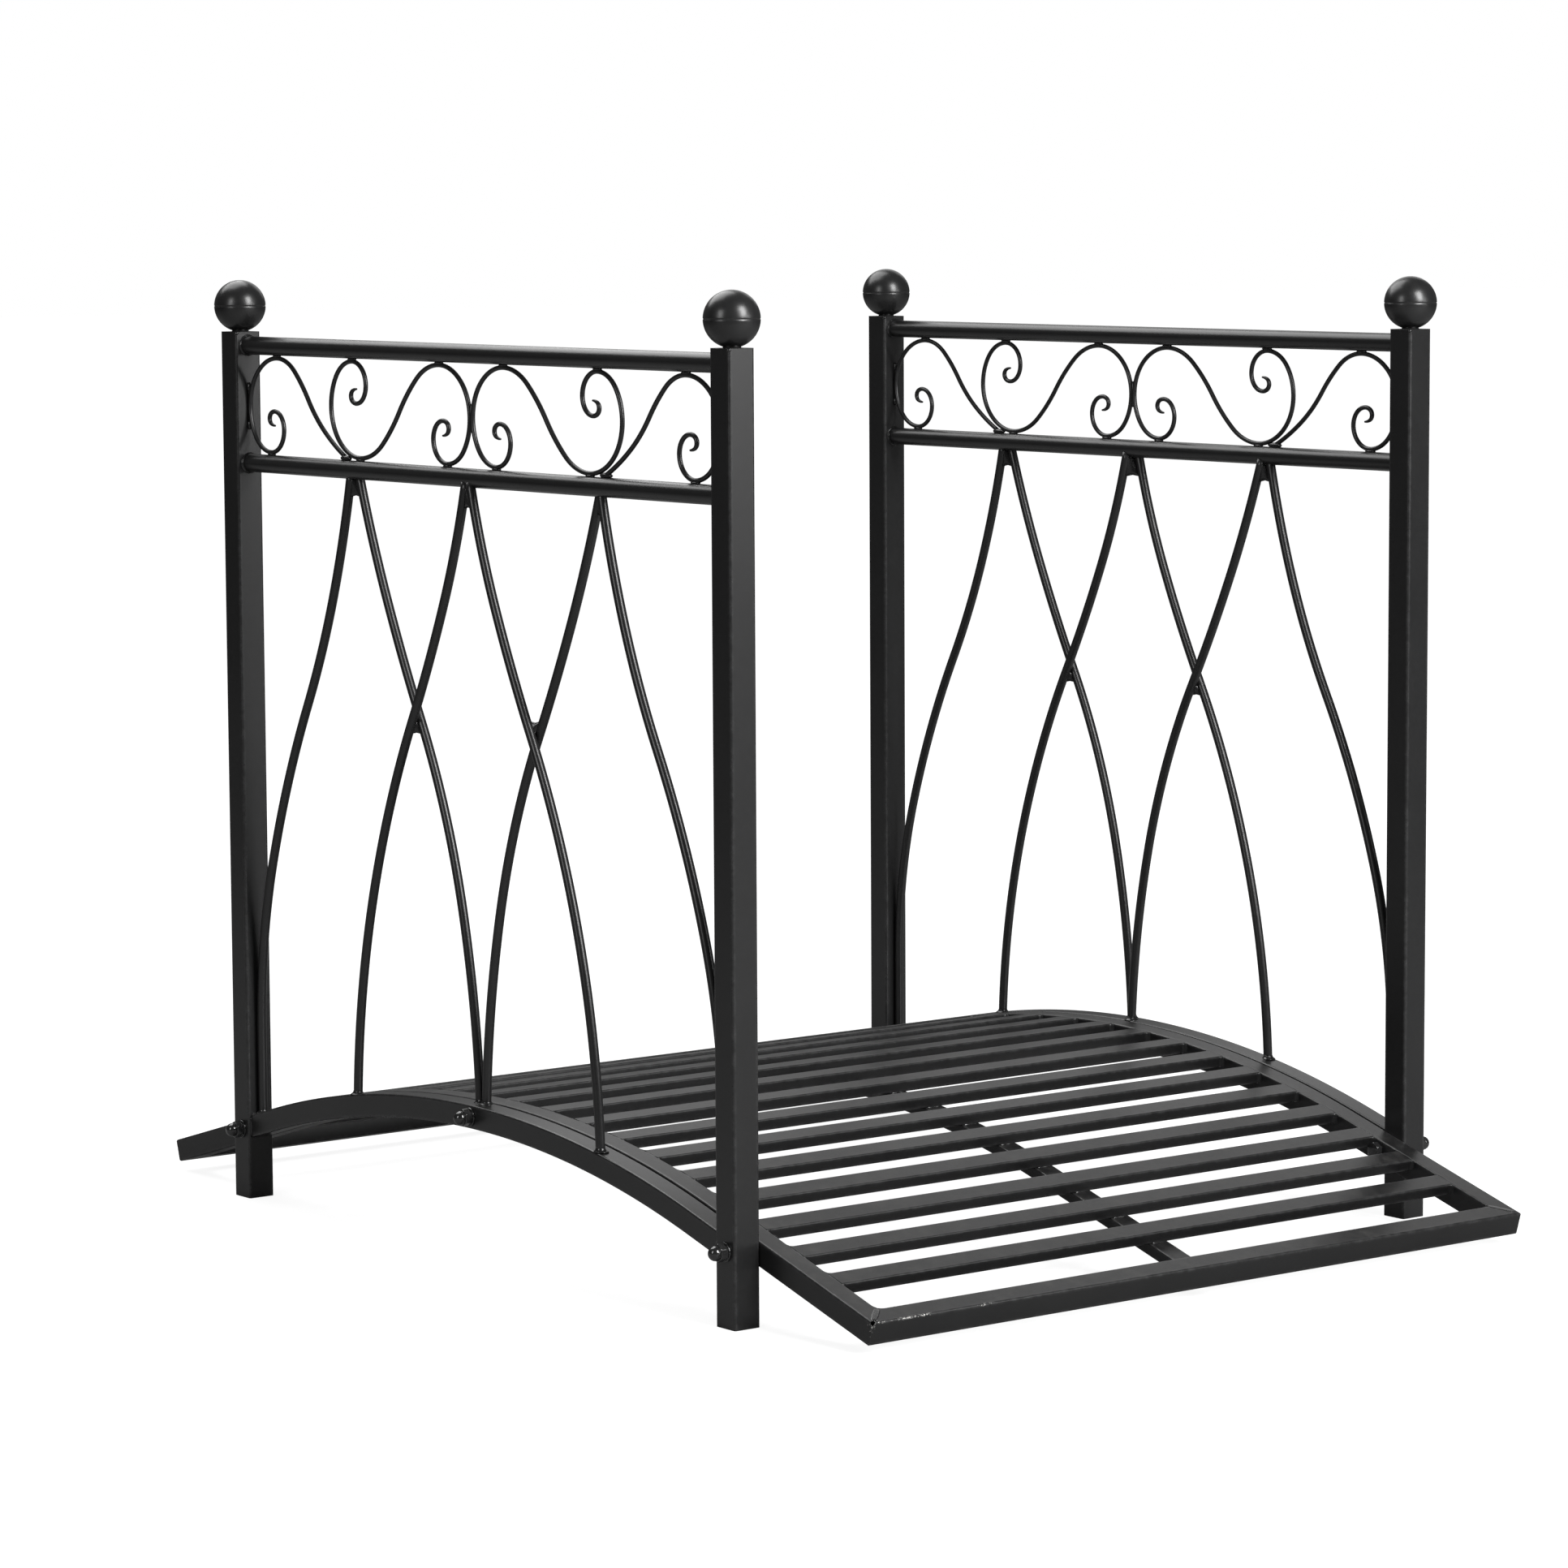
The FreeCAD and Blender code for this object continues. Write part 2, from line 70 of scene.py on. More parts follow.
def putAimed(name, data, place, aim, roll=0.0):
    # a camera or lamp at place, looking at aim
    thing = bpy.data.objects.new(name, data)
    thing.location = place
    thing.rotation_mode = "QUATERNION"
    turn = (Vector(aim) - Vector(place)).to_track_quat("-Z", "Y")
    thing.rotation_quaternion = turn @ Quaternion((0, 0, 1), math.radians(roll))
    bpy.context.scene.collection.objects.link(thing)
    return thing


def makeCamera():
    data = bpy.data.cameras.new("bridgeCamera")
    data.lens = cameraView["lens"]
    data.sensor_width = 36.0
    data.clip_end = 200.0
    camera = putAimed("bridgeCamera", data, cameraView["place"], cameraView["aim"], cameraView["roll"])
    bpy.context.scene.camera = camera


def makeLights():
    for name, values in studioLights.items():
        data = bpy.data.lights.new(name, "AREA")
        data.shape = "RECTANGLE"
        data.size, data.size_y = values["size"]
        data.energy = values["power"]
        putAimed(name, data, values["place"], values["aim"])


def feed(tree, sockets, values):
    # each socket takes a constant or a link
    for socket, value in zip(sockets, values):
        if isinstance(value, (int, float, tuple)):
            socket.default_value = value
        else:
            tree.links.new(value, socket)


def noiseNode(tree, vector, scale, detail=3.0, rough=0.5):
    node = tree.nodes.new("ShaderNodeTexNoise")
    names = ("Vector", "Scale", "Detail", "Roughness")
    feed(tree, [node.inputs[name] for name in names], (vector, scale, detail, rough))
    return node.outputs["Fac"]


def mathNode(tree, kind, first, second, clamp=False):
    node = tree.nodes.new("ShaderNodeMath")
    node.operation = kind
    node.use_clamp = clamp
    feed(tree, node.inputs, (first, second))
    return node.outputs[0]


def stepNode(tree, value, low, high, least=0.0):
    # smooth step from least at low to 1 at high
    node = tree.nodes.new("ShaderNodeMapRange")
    node.interpolation_type = "SMOOTHSTEP"
    names = ("Value", "From Min", "From Max", "To Min")
    feed(tree, [node.inputs[name] for name in names], (value, low, high, least))
    return node.outputs["Result"]


def mixColour(tree, factor, first, second):
    node = tree.nodes.new("ShaderNodeMix")
    node.data_type = "RGBA"
    feed(tree, [node.inputs[n] for n in (0, 6, 7)], (factor, first, second))
    return node.outputs[2]


def attributeNode(tree, name):
    node = tree.nodes.new("ShaderNodeAttribute")
    node.attribute_name = name
    return node.outputs["Fac"]


def makeWorld():
    world = bpy.data.worlds.new("studioWorld")
    world.use_nodes = True
    nodes = world.node_tree.nodes
    links = world.node_tree.links
    nodes.clear()
    mix = nodes.new("ShaderNodeMixShader")
    for n, name in enumerate(("around", "seen")):
        glow = nodes.new("ShaderNodeBackground")
        glow.inputs["Color"].default_value = (1, 1, 1, 1)
        glow.inputs["Strength"].default_value = studioGlow[name]
        links.new(glow.outputs[0], mix.inputs[n + 1])
    links.new(nodes.new("ShaderNodeLightPath").outputs["Is Camera Ray"], mix.inputs["Fac"])
    links.new(mix.outputs[0], nodes.new("ShaderNodeOutputWorld").inputs["Surface"])
    bpy.context.scene.world = world
    bpy.context.scene.view_settings.view_transform = "Standard"


def makeFloor():
    half = floorLook["size"] / 2
    mesh = bpy.data.meshes.new("studioFloor")
    corners = [(-half, -half, 0), (half, -half, 0), (half, half, 0), (-half, half, 0)]
    mesh.from_pydata(corners, [], [(0, 1, 2, 3)])
    floor = bpy.data.objects.new("studioFloor", mesh)
    material = bpy.data.materials.new("floorPaper")
    material.use_nodes = True
    tree = material.node_tree
    nodes = tree.nodes
    links = tree.links
    shader = nodes["Principled BSDF"]
    shader.inputs["Roughness"].default_value = floorLook["roughness"]
    where = nodes.new("ShaderNodeTexCoord").outputs["Object"]
    ramp = nodes.new("ShaderNodeValToRGB")
    for element, shade in zip(ramp.color_ramp.elements, (floorLook["grainShade"], 1.0)):
        element.color = tuple(shade * c for c in floorLook["colour"]) + (1,)
    links.new(noiseNode(tree, where, floorLook["grain"], 2.0), ramp.inputs["Fac"])
    links.new(ramp.outputs["Color"], shader.inputs["Base Color"])
    # to the camera the paper is lifted towards white, wholly so away from the bridge
    away = nodes.new("ShaderNodeVectorMath")
    away.operation = "LENGTH"
    links.new(where, away.inputs[0])
    share = stepNode(tree, away.outputs["Value"], floorLook["near"], floorLook["far"], floorLook["lift"])
    ray = nodes.new("ShaderNodeLightPath").outputs["Is Camera Ray"]
    glow = nodes.new("ShaderNodeEmission")
    both = nodes.new("ShaderNodeAddShader")
    links.new(mathNode(tree, "MULTIPLY", share, ray), glow.inputs["Strength"])
    links.new(shader.outputs[0], both.inputs[0])
    links.new(glow.outputs[0], both.inputs[1])
    links.new(both.outputs[0], nodes["Material Output"].inputs["Surface"])
    mesh.materials.append(material)
    bpy.context.scene.collection.objects.link(floor)


makeCamera()
makeLights()
makeWorld()
makeFloor()
print("camera, lights and floor made")


# one black powder coat, by what each surface went through; the deck's copy also has a darker base colour
# than the railing's, as painted shade
railingCoat = {
    "Dark": (0.0090, 0.0090, 0.0092, 1), "Light": (0.0145, 0.0145, 0.0148, 1),
    "Rough": 0.30, "Rough Spread": 0.08, "Peel": 0.12, "Dust": 0.06, "Edge Wear And Highlight": 0.5, "Chips": 0.0,
    "clear": 0.0, "slot": "railing_coat",
}
deckShadedCoat = {
    # Dark and Light here are darker than the railing's: painted shade on the deck
    "Dark": (0.0048, 0.0048, 0.0050, 1), "Light": (0.0092, 0.0092, 0.0094, 1),
    "Rough": 0.36, "Rough Spread": 0.10, "Peel": 0.14, "Dust": 0.16, "Edge Wear And Highlight": 0.6, "Chips": 1.0,
    "clear": 0.0, "slot": "deck_coat",
}
weldCoat = {
    "Dark": (0.0068, 0.0068, 0.0070, 1), "Light": (0.0125, 0.0125, 0.0128, 1),
    "Rough": 0.26, "Rough Spread": 0.12, "Peel": 0.40, "Dust": 0.03, "Edge Wear And Highlight": 0.0, "Chips": 0.25,
    "clear": 0.2, "slot": "railing_coat",
}
nutCoat = {
    "Dark": (0.0080, 0.0080, 0.0082, 1), "Light": (0.0150, 0.0150, 0.0152, 1),
    "Rough": 0.16, "Rough Spread": 0.10, "Peel": 0.06, "Dust": 0.06, "Edge Wear And Highlight": 1.0, "Chips": 0.15,
    "clear": 0.6, "slot": "black_fastener",
}
coatInputs = ("Dark", "Light", "Rough", "Rough Spread", "Peel", "Dust", "Edge Wear And Highlight", "Chips")
coatPattern = {
    # noise scale, detail and roughness
    "cloud": (9.0, 4.0, 0.6), "mottle": (240.0, 3.0, 0.6), "peel": (1100.0, 2.0, 0.5),
    "wave": (95.0, 1.0, 0.4), "grains": (70.0, 6.0, 0.7), "broken": (120.0, 4.0, 0.65),
    "ragged": (420.0, 5.0, 0.7),
    # where each smooth step runs
    "cloudStep": (0.30, 0.72), "upwardStep": (0.35, 0.95), "grainStep": (0.42, 0.80),
    "brokenStep": (0.30, 0.75), "bareStep": (0.98, 1.03),
    # the pale edge colour and its share stand for rubbed wear and for a painted highlight along the edges
    "cloudShare": 0.65, "mottleShare": 0.35, "edgeWearHighlightShare": 0.5, "chipShare": 0.55,
    "dustColour": (0.16, 0.155, 0.145, 1), "edgeWearHighlightColour": (0.085, 0.085, 0.086, 1),
    "steelColour": (0.42, 0.415, 0.40, 1),
    "rubbedPolish": 0.10, "dustRough": 0.5, "mottleHeight": 0.12, "waveHeight": 0.30, "chipDepth": 0.9,
    "bumpStrength": 0.35, "bumpDistance": 0.0002, "clearRough": 0.12,
}


def buildCoatGroup():
    # tone = shares of cloud and mottle between Dark and Light; then dust on top, edges lightened as rubbed
    # wear and as painted highlight, and chips;
    # height = peel + faint mottle and waves, less the depth of each chip
    group = bpy.data.node_groups.new("powderCoat", "ShaderNodeTree")
    outs = ("Colour", "Roughness", "Metal", "Height")
    for way, names in (("INPUT", coatInputs), ("OUTPUT", outs)):
        for name in names:
            kind = "NodeSocketColor" if name in ("Dark", "Light", "Colour") else "NodeSocketFloat"
            group.interface.new_socket(name, in_out=way, socket_type=kind)
    given = group.nodes.new("NodeGroupInput")
    out = group.nodes.new("NodeGroupOutput")
    where = group.nodes.new("ShaderNodeTexCoord").outputs["Object"]
    look = coatPattern

    def noise(name):
        return noiseNode(group, where, *look[name])

    def times(first, second, clamp=False):
        return mathNode(group, "MULTIPLY", first, second, clamp)

    def plus(first, second, clamp=False):
        return mathNode(group, "ADD", first, second, clamp)

    def minus(first, second):
        return mathNode(group, "SUBTRACT", first, second)

    mottle = noise("mottle")
    cloud = stepNode(group, noise("cloud"), *look["cloudStep"])
    tone = plus(times(cloud, look["cloudShare"]), times(mottle, look["mottleShare"]))
    colour = mixColour(group, tone, given.outputs["Dark"], given.outputs["Light"])

    facing = group.nodes.new("ShaderNodeNewGeometry")
    split = group.nodes.new("ShaderNodeSeparateXYZ")
    group.links.new(facing.outputs["Normal"], split.inputs[0])
    upward = stepNode(group, split.outputs["Z"], *look["upwardStep"])
    grains = stepNode(group, noise("grains"), *look["grainStep"])
    dust = times(times(upward, grains), given.outputs["Dust"])
    colour = mixColour(group, dust, colour, look["dustColour"])

    broken = stepNode(group, noise("broken"), *look["brokenStep"])
    # edges lightened towards the pale edge colour: partly rubbed wear, partly painted edge highlight
    edgeWearAndHighlight = times(times(attributeNode(group, "edge"), broken), given.outputs["Edge Wear And Highlight"])
    colour = mixColour(group, times(edgeWearAndHighlight, look["edgeWearHighlightShare"]), colour, look["edgeWearHighlightColour"])

    ragged = plus(times(attributeNode(group, "chip"), look["chipShare"]), noise("ragged"))
    bare = times(stepNode(group, ragged, *look["bareStep"]), given.outputs["Chips"], True)
    colour = mixColour(group, bare, colour, look["steelColour"])

    rough = plus(given.outputs["Rough"], times(minus(mottle, 0.5), given.outputs["Rough Spread"]))
    rough = minus(rough, times(edgeWearAndHighlight, look["rubbedPolish"]))
    rough = plus(rough, times(dust, look["dustRough"]), True)
    height = plus(times(noise("peel"), given.outputs["Peel"]), times(mottle, look["mottleHeight"]))
    height = plus(height, times(noise("wave"), look["waveHeight"]))
    height = minus(height, times(bare, look["chipDepth"]))
    for name, value in zip(outs, (colour, rough, bare, height)):
        group.links.new(value, out.inputs[name])
    return group


coatGroup = buildCoatGroup()


def makeCoat(name, values):
    material = bpy.data.materials.new(name)
    material.use_nodes = True
    nodes = material.node_tree.nodes
    links = material.node_tree.links
    shader = nodes["Principled BSDF"]
    coat = nodes.new("ShaderNodeGroup")
    coat.node_tree = coatGroup
    for socket in coatInputs:
        coat.inputs[socket].default_value = values[socket]
    bump = nodes.new("ShaderNodeBump")
    bump.inputs["Strength"].default_value = coatPattern["bumpStrength"]
    bump.inputs["Distance"].default_value = coatPattern["bumpDistance"]
    links.new(coat.outputs["Colour"], shader.inputs["Base Color"])
    links.new(coat.outputs["Roughness"], shader.inputs["Roughness"])
    if values["Chips"]:
        links.new(coat.outputs["Metal"], shader.inputs["Metallic"])
    links.new(coat.outputs["Height"], bump.inputs["Height"])
    links.new(bump.outputs["Normal"], shader.inputs["Normal"])
    shader.inputs["Coat Weight"].default_value = values["clear"]
    shader.inputs["Coat Roughness"].default_value = coatPattern["clearRough"]
    return {"material": material, "slot": values["slot"]}


railingFinish = makeCoat("railingPowderCoat", railingCoat)
deckShadedFinish = makeCoat("deckShadedPowderCoat", deckShadedCoat)
weldFinish = makeCoat("coatedWeld", weldCoat)
nutFinish = makeCoat("glossyFastener", nutCoat)
print("finishes made")


def joined(x, y, z):
    # points from x, y and z, each stretched to the same shape
    return np.stack(np.broadcast_arrays(x, y, z), -1)


def shell(grid, edge=None, chip=None):
    # rings of points joined to their neighbours, both ends closed on the ring's middle, faces outwards
    rings, count = grid.shape[:2]
    points = np.concatenate([grid.reshape(-1, 3), grid[:1].mean(1), grid[-1:].mean(1)])
    index = np.arange(rings * count).reshape(rings, count)
    beside = np.roll(index, -1, 1)
    quads = np.stack([index[:-1], beside[:-1], beside[1:], index[1:]], -1).reshape(-1, 4)
    first = np.full(count, rings * count)
    fans = np.concatenate([
        np.stack([first, beside[0], index[0]], -1),
        np.stack([first + 1, index[-1], beside[-1]], -1),
    ])
    halves = np.concatenate([quads[:, [0, 1, 2]], quads[:, [0, 2, 3]], fans])
    corners = points[halves] - points.mean(0)
    volume = np.einsum("ij,ij->i", corners[:, 0], np.cross(corners[:, 1], corners[:, 2])).sum()
    if volume < 0:
        quads = quads[:, ::-1]
        fans = fans[:, ::-1]
    values = {}
    for name, given in (("edge", edge), ("chip", chip)):
        spread = np.zeros((rings, count)) if given is None else np.broadcast_to(given, (rings, count))
        values[name] = np.concatenate([spread.ravel(), [spread[0].mean(), spread[-1].mean()]])
    return {"points": points, "quads": quads, "fans": fans, **values}


def putPiece(name, shells, finish, *nodes):
    # one object from closed shells, in place, standing for the CAD nodes named
    points = np.concatenate([s["points"] for s in shells])
    starts = np.cumsum([0] + [len(s["points"]) for s in shells[:-1]])
    quads = np.concatenate([s["quads"] + n for s, n in zip(shells, starts)])
    fans = np.concatenate([s["fans"] + n for s, n in zip(shells, starts)])
    mesh = bpy.data.meshes.new(name)
    mesh.vertices.add(len(points))
    mesh.vertices.foreach_set("co", points.astype(np.float32).ravel())
    mesh.loops.add(quads.size + fans.size)
    mesh.loops.foreach_set("vertex_index", np.concatenate([quads.ravel(), fans.ravel()]).astype(np.int32))
    mesh.polygons.add(len(quads) + len(fans))
    firstLoops = np.concatenate([np.arange(len(quads)) * 4, quads.size + np.arange(len(fans)) * 3])
    mesh.polygons.foreach_set("loop_start", firstLoops.astype(np.int32))
    mesh.update(calc_edges=True)
    for attribute in ("edge", "chip"):
        values = np.concatenate([s[attribute] for s in shells])
        mesh.attributes.new(attribute, "FLOAT", "POINT").data.foreach_set("value", values.astype(np.float32))
    mesh.shade_smooth()
    mesh.validate()
    mesh.materials.append(finish["material"])
    piece = bpy.data.objects.new(name, mesh)
    bpy.context.scene.collection.objects.link(piece)
    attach(piece, "root")
    if nodes:
        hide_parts(*nodes)
    return piece


def mirrored(shells, axis):
    # the same shells beyond the middle, their faces turned to point outwards again
    turned = []
    for s in shells:
        points = s["points"].copy()
        points[:, axis] *= -1
        turned.append({**s, "points": points, "quads": s["quads"][:, ::-1], "fans": s["fans"][:, ::-1]})
    return turned


def boxRing(width, height, corner, steps=5, shoulders=(0.0003, 0.0018)):
    # rectangle with round corners: corner centre + corner * (cos, sin), with flat points beside each arc
    turns = np.linspace(0, np.pi / 2, steps + 1) + np.arange(4)[:, None] * np.pi / 2
    signs = np.array([(1, 1), (-1, 1), (-1, -1), (1, -1)])
    centres = signs * (np.array([width, height]) / 2 - corner)
    arcs = centres[:, None] + corner * np.stack([np.cos(turns), np.sin(turns)], -1)
    ahead = np.stack([-np.sin(turns), np.cos(turns)], -1)
    near, far = shoulders
    before = np.stack([arcs[:, 0] - ahead[:, 0] * far, arcs[:, 0] - ahead[:, 0] * near], 1)
    after = np.stack([arcs[:, -1] + ahead[:, -1] * near, arcs[:, -1] + ahead[:, -1] * far], 1)
    ring = np.concatenate([before, arcs, after], 1).reshape(-1, 2)
    # edge values drive the coat's rubbed wear and its painted edge highlight
    edge = np.tile(np.concatenate([[0, 0.6], np.ones(steps + 1), [0.6, 0]]), 4)
    return ring, edge


def roundRing(count):
    # circle of radius 1
    turns = np.arange(count) * 2 * np.pi / count
    return np.stack([np.cos(turns), np.sin(turns)], -1)


def withShoulders(along, gap=0.0004):
    # the same stations, with one more just inside each end
    return np.concatenate([along[:1], [along[0] + gap], along[1:-1], [along[-1] - gap], along[-1:]])


def carried(ring, path, across, up, startLean=0.0, endLean=0.0):
    # ring points (a, b) carried along a path: path + a * across + b * up; leans slide the end rings along it
    across = np.broadcast_to(across, path.shape)
    up = np.broadcast_to(up, path.shape)
    grid = path[:, None] + ring[..., :1] * across[:, None] + ring[..., 1:] * up[:, None]
    ahead = path[[1, -1]] - path[[0, -2]]
    ahead = ahead / np.linalg.norm(ahead, axis=1)[:, None]
    grid[:2] += np.multiply.outer(np.broadcast_to(startLean, grid.shape[1]), ahead[0])
    grid[-2:] += np.multiply.outer(np.broadcast_to(endLean, grid.shape[1]), ahead[1])
    return grid


def capped(grid, shares=(0.94, 0.5)):
    # flat caps: each end ring again, drawn in towards its middle
    first = grid[:1].mean(1, keepdims=True)
    last = grid[-1:].mean(1, keepdims=True)
    shares = np.array(shares)[:, None, None]
    under = first + (grid[:1] - first) * shares[::-1]
    over = last + (grid[-1:] - last) * shares
    return np.concatenate([under, grid, over])


def cappedEdge(edge, rings, capRings=2):
    # the ring's edge values for every ring of a bar and its two caps
    return np.broadcast_to(edge, (rings + 2 * capRings, len(edge)))


def bar(ringAndEdge, path, across, up, startLean=0.0, endLean=0.0):
    # a ring carried along the path, with flat caps
    ring, edge = ringAndEdge
    grid = capped(carried(ring, path, across, up, startLean, endLean))
    return shell(grid, cappedEdge(edge, len(path)))


def lumps(count, seed, waves=4):
    # a smooth random wave round a ring or along a path: sum of sin(n t + phase) * weight / n, seeded
    random = np.random.default_rng(seed)
    turns = np.linspace(0, 2 * np.pi, count, endpoint=False)
    wave = np.zeros(count)
    for n in range(1, waves + 1):
        phase = random.uniform(0, 6.28)
        wave += np.sin(turns * n + phase) * random.uniform(0.3, 1) / n
    return wave


deck = {"slope": math.radians(16.2), "endHeight": 0.027, "tube": 0.020, "tubeCorner": 0.0016}
slats = {"width": 0.020, "height": 0.010, "corner": 0.0014, "endGap": 0.0445, "eachSide": 9}
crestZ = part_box("slat_10")[1].z
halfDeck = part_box("end_bar_right")[1].y
slopeCos = math.cos(deck["slope"])
slopeSin = math.sin(deck["slope"])
slopeTan = math.tan(deck["slope"])
cornerLoss = deck["tubeCorner"] * (slopeCos + slopeSin - 1)
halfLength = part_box("end_bar_right")[1].x + cornerLoss
archRadius = (halfLength * slopeTan - crestZ + deck["endHeight"]) * slopeCos
archRadius /= 1 - slopeCos
arcLength = archRadius * deck["slope"]
halfRun = arcLength + (halfLength - archRadius * slopeSin) / slopeCos


def deckLine(along, depth=0.0):
    # an arc of archRadius, then straight tails: place under the surface, direction ahead and direction up
    along = np.asarray(along, float)
    side = np.sign(along)
    turn = np.minimum(np.abs(along), arcLength) / archRadius
    tail = np.maximum(np.abs(along) - arcLength, 0)
    x = side * (archRadius * np.sin(turn) + tail * np.cos(turn))
    z = crestZ - archRadius * (1 - np.cos(turn)) - tail * np.sin(turn)
    up = joined(side * np.sin(turn), 0.0, np.cos(turn))
    ahead = joined(np.cos(turn), 0.0, -side * np.sin(turn))
    return joined(x, 0.0, z) - depth * up, ahead, up


def deckTop(x):
    # height of the deck's surface at x
    past = np.maximum(np.abs(x) - archRadius * slopeSin, 0)
    near = np.minimum(np.abs(x), archRadius * slopeSin)
    return crestZ - archRadius + np.sqrt(archRadius ** 2 - near ** 2) - past * slopeTan


acrossY = np.array([0.0, 1.0, 0.0])
half = deck["tube"] / 2
tubeRing = boxRing(deck["tube"], deck["tube"], deck["tubeCorner"])
slatRing = boxRing(slats["width"], slats["height"], slats["corner"])
notch = {"depth": 0.0025, "reach": 0.0022}      # the open corner where the mitre's weld missed
wear = {
    # chips: how many at the middle of each patch, and how far it reaches
    "corner": (0.98, 0.022), "lowCorner": (0.92, 0.012), "lowInset": 0.004,
    "edge": (0.90, 0.035), "edgeY": -0.235,
    "nearEdge": (0.87, 0.025), "nearEdgeY": -0.31, "nearEdgePeak": 1.6,
}


def cornerChips(grid):
    # chips gather at the worn corner and at the foot of its upright edge: strength - distance / reach
    corner = np.array([halfLength, -halfDeck, deck["endHeight"]])
    low = corner - np.array([wear["lowInset"], 0.0, deck["tube"]])
    off = np.linalg.norm((grid - corner) * np.array([1, 1, 0.8]), axis=-1) / wear["corner"][1]
    offLow = np.linalg.norm(grid - low, axis=-1) / wear["lowCorner"][1]
    return np.clip(np.maximum(wear["corner"][0] - off, wear["lowCorner"][0] - offLow), 0, 1)


def notchShift(ring, sideSign):
    # the end ring's top outer corner drawn back, so that the two tubes leave a small hole
    far = np.linalg.norm(ring - np.array([sideSign * half, half]), axis=-1)
    return notch["depth"] * np.clip(1.4 - far / notch["reach"], 0, 1)


def pitted(grid, shift, ahead):
    # flat cap with the shift carried inwards over its outer part, so the corner is a small open pit
    rings = len(grid)
    grid = capped(grid, (0.95, 0.86, 0.72, 0.4))
    sink = np.array([1.0, 1.0, 0.5])[:, None, None]
    grid[rings + 4:rings + 7] -= sink * np.multiply.outer(shift, ahead)
    return grid


def makeDeckRails():
    ring, edge = tubeRing
    end = halfRun - half
    along = withShoulders(np.concatenate([[-end], np.linspace(-0.49, 0.49, 99), [end]]))
    path, ahead, up = deckLine(along, half)
    path[:, 1] = -halfDeck + half
    openCorner = notchShift(ring, -1)
    grid = carried(ring, path, acrossY, up, ring[:, 0], -ring[:, 0] - openCorner)
    grid = pitted(grid, openCorner, ahead[-1])
    front = shell(grid, cappedEdge(edge, len(along), 4), cornerChips(grid))
    putPiece("deckRailFront", [front], deckShadedFinish, "deck_rail_front")
    plain = bar(tubeRing, path, acrossY, up, ring[:, 0], -ring[:, 0])
    putPiece("deckRailRear", mirrored([plain], 1), deckShadedFinish, "deck_rail_rear")


def makeEndBars():
    ring, edge = tubeRing
    [(x, none, z)], ahead, up = deckLine(np.array([halfRun - half]), half)
    across = withShoulders(np.linspace(-halfDeck + half, halfDeck - half, 61))
    path = joined(x, across, z)
    openCorner = notchShift(ring, 1)
    grid = carried(ring, path, ahead[0], up[0], -ring[:, 0] + openCorner, ring[:, 0])
    grid = pitted(grid[::-1], openCorner, -acrossY)
    edges = cappedEdge(edge, len(across), 4)
    chip = cornerChips(grid)
    for patch, peak in (("edge", 1.0), ("nearEdge", wear["nearEdgePeak"])):
        strength, reach = wear[patch]
        share = np.clip(peak - np.abs(grid[..., 1] - wear[patch + "Y"]) / reach, 0, 1)
        chip = np.maximum(chip, share * edges * (grid[..., 2] > z) * strength)
    putPiece("endBarRight", [shell(grid, edges, chip)], deckShadedFinish, "end_bar_right")
    plain = bar(tubeRing, path, ahead[0], up[0], -ring[:, 0], ring[:, 0])
    putPiece("endBarLeft", mirrored([plain], 0), deckShadedFinish, "end_bar_left")


slatReach = halfRun - deck["tube"] - slats["endGap"] - slats["width"] / 2
slatCounts = np.arange(-slats["eachSide"], slats["eachSide"] + 1)
slatPlaces = slatCounts * slatReach / slats["eachSide"]


def makeSlats():
    across = withShoulders(np.linspace(-halfDeck + deck["tube"], halfDeck - deck["tube"], 23))
    points, ahead, up = deckLine(slatPlaces, slats["height"] / 2)
    for n, (x, none, z) in enumerate(points):
        slat = bar(slatRing, joined(x, across, z), ahead[n], up[n])
        name = "%02d" % (n + 1)
        putPiece("slat" + name, [slat], deckShadedFinish, "slat_" + name)


def makeSpine():
    end = halfRun - deck["tube"]
    along = withShoulders(np.linspace(-end, end, 81))
    path, ahead, up = deckLine(along, slats["height"] * 1.5)
    putPiece("deckSpine", [bar(slatRing, path, acrossY, up)], deckShadedFinish, "deck_spine")


makeDeckRails()
makeEndBars()
makeSlats()
makeSpine()
print("deck frame made")


posts = {"corner": 0.002, "wall": 0.0015, "topPlate": 0.004}
rails = {"diameter": 0.016, "drop": 0.012, "band": 0.1025}
balls = {
    "diameter": 0.045, "seamDepth": 0.00045, "seamWidth": 0.0005, "seamPaintedHighlight": 0.35,
    "neckRadius": 0.008, "neckDraw": 0.0032, "neckFlare": 0.0022, "neckRise": 0.0036, "neckSink": 0.0004,
}
railRadius = rails["diameter"] / 2
postLow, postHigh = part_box("post_front_right")
postSize = postHigh.x - postLow.x
postX = (postLow.x + postHigh.x) / 2
postY = -(postLow.y + postHigh.y) / 2
postTop = postHigh.z
halfSpan = postLow.x
topRailZ = postTop - rails["drop"]
midRailZ = topRailZ - rails["band"]
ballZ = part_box("ball_finial_front_right")[1].z - balls["diameter"] / 2
rowNames = ("front", "rear")
sideNames = ("right", "left")


def placedAt(shells, row, side):
    # the shells built at Y < 0 and X > 0, put where the row and side say
    if side == "left":
        shells = mirrored(shells, 0)
    if row == "rear":
        shells = mirrored(shells, 1)
    return shells


def putOnEach(name, node, shells, finish):
    for row in rowNames:
        for side in sideNames:
            placed = placedAt(shells, row, side)
            putPiece(name + row.title() + side.title(), placed, finish, node + "_" + row + "_" + side)


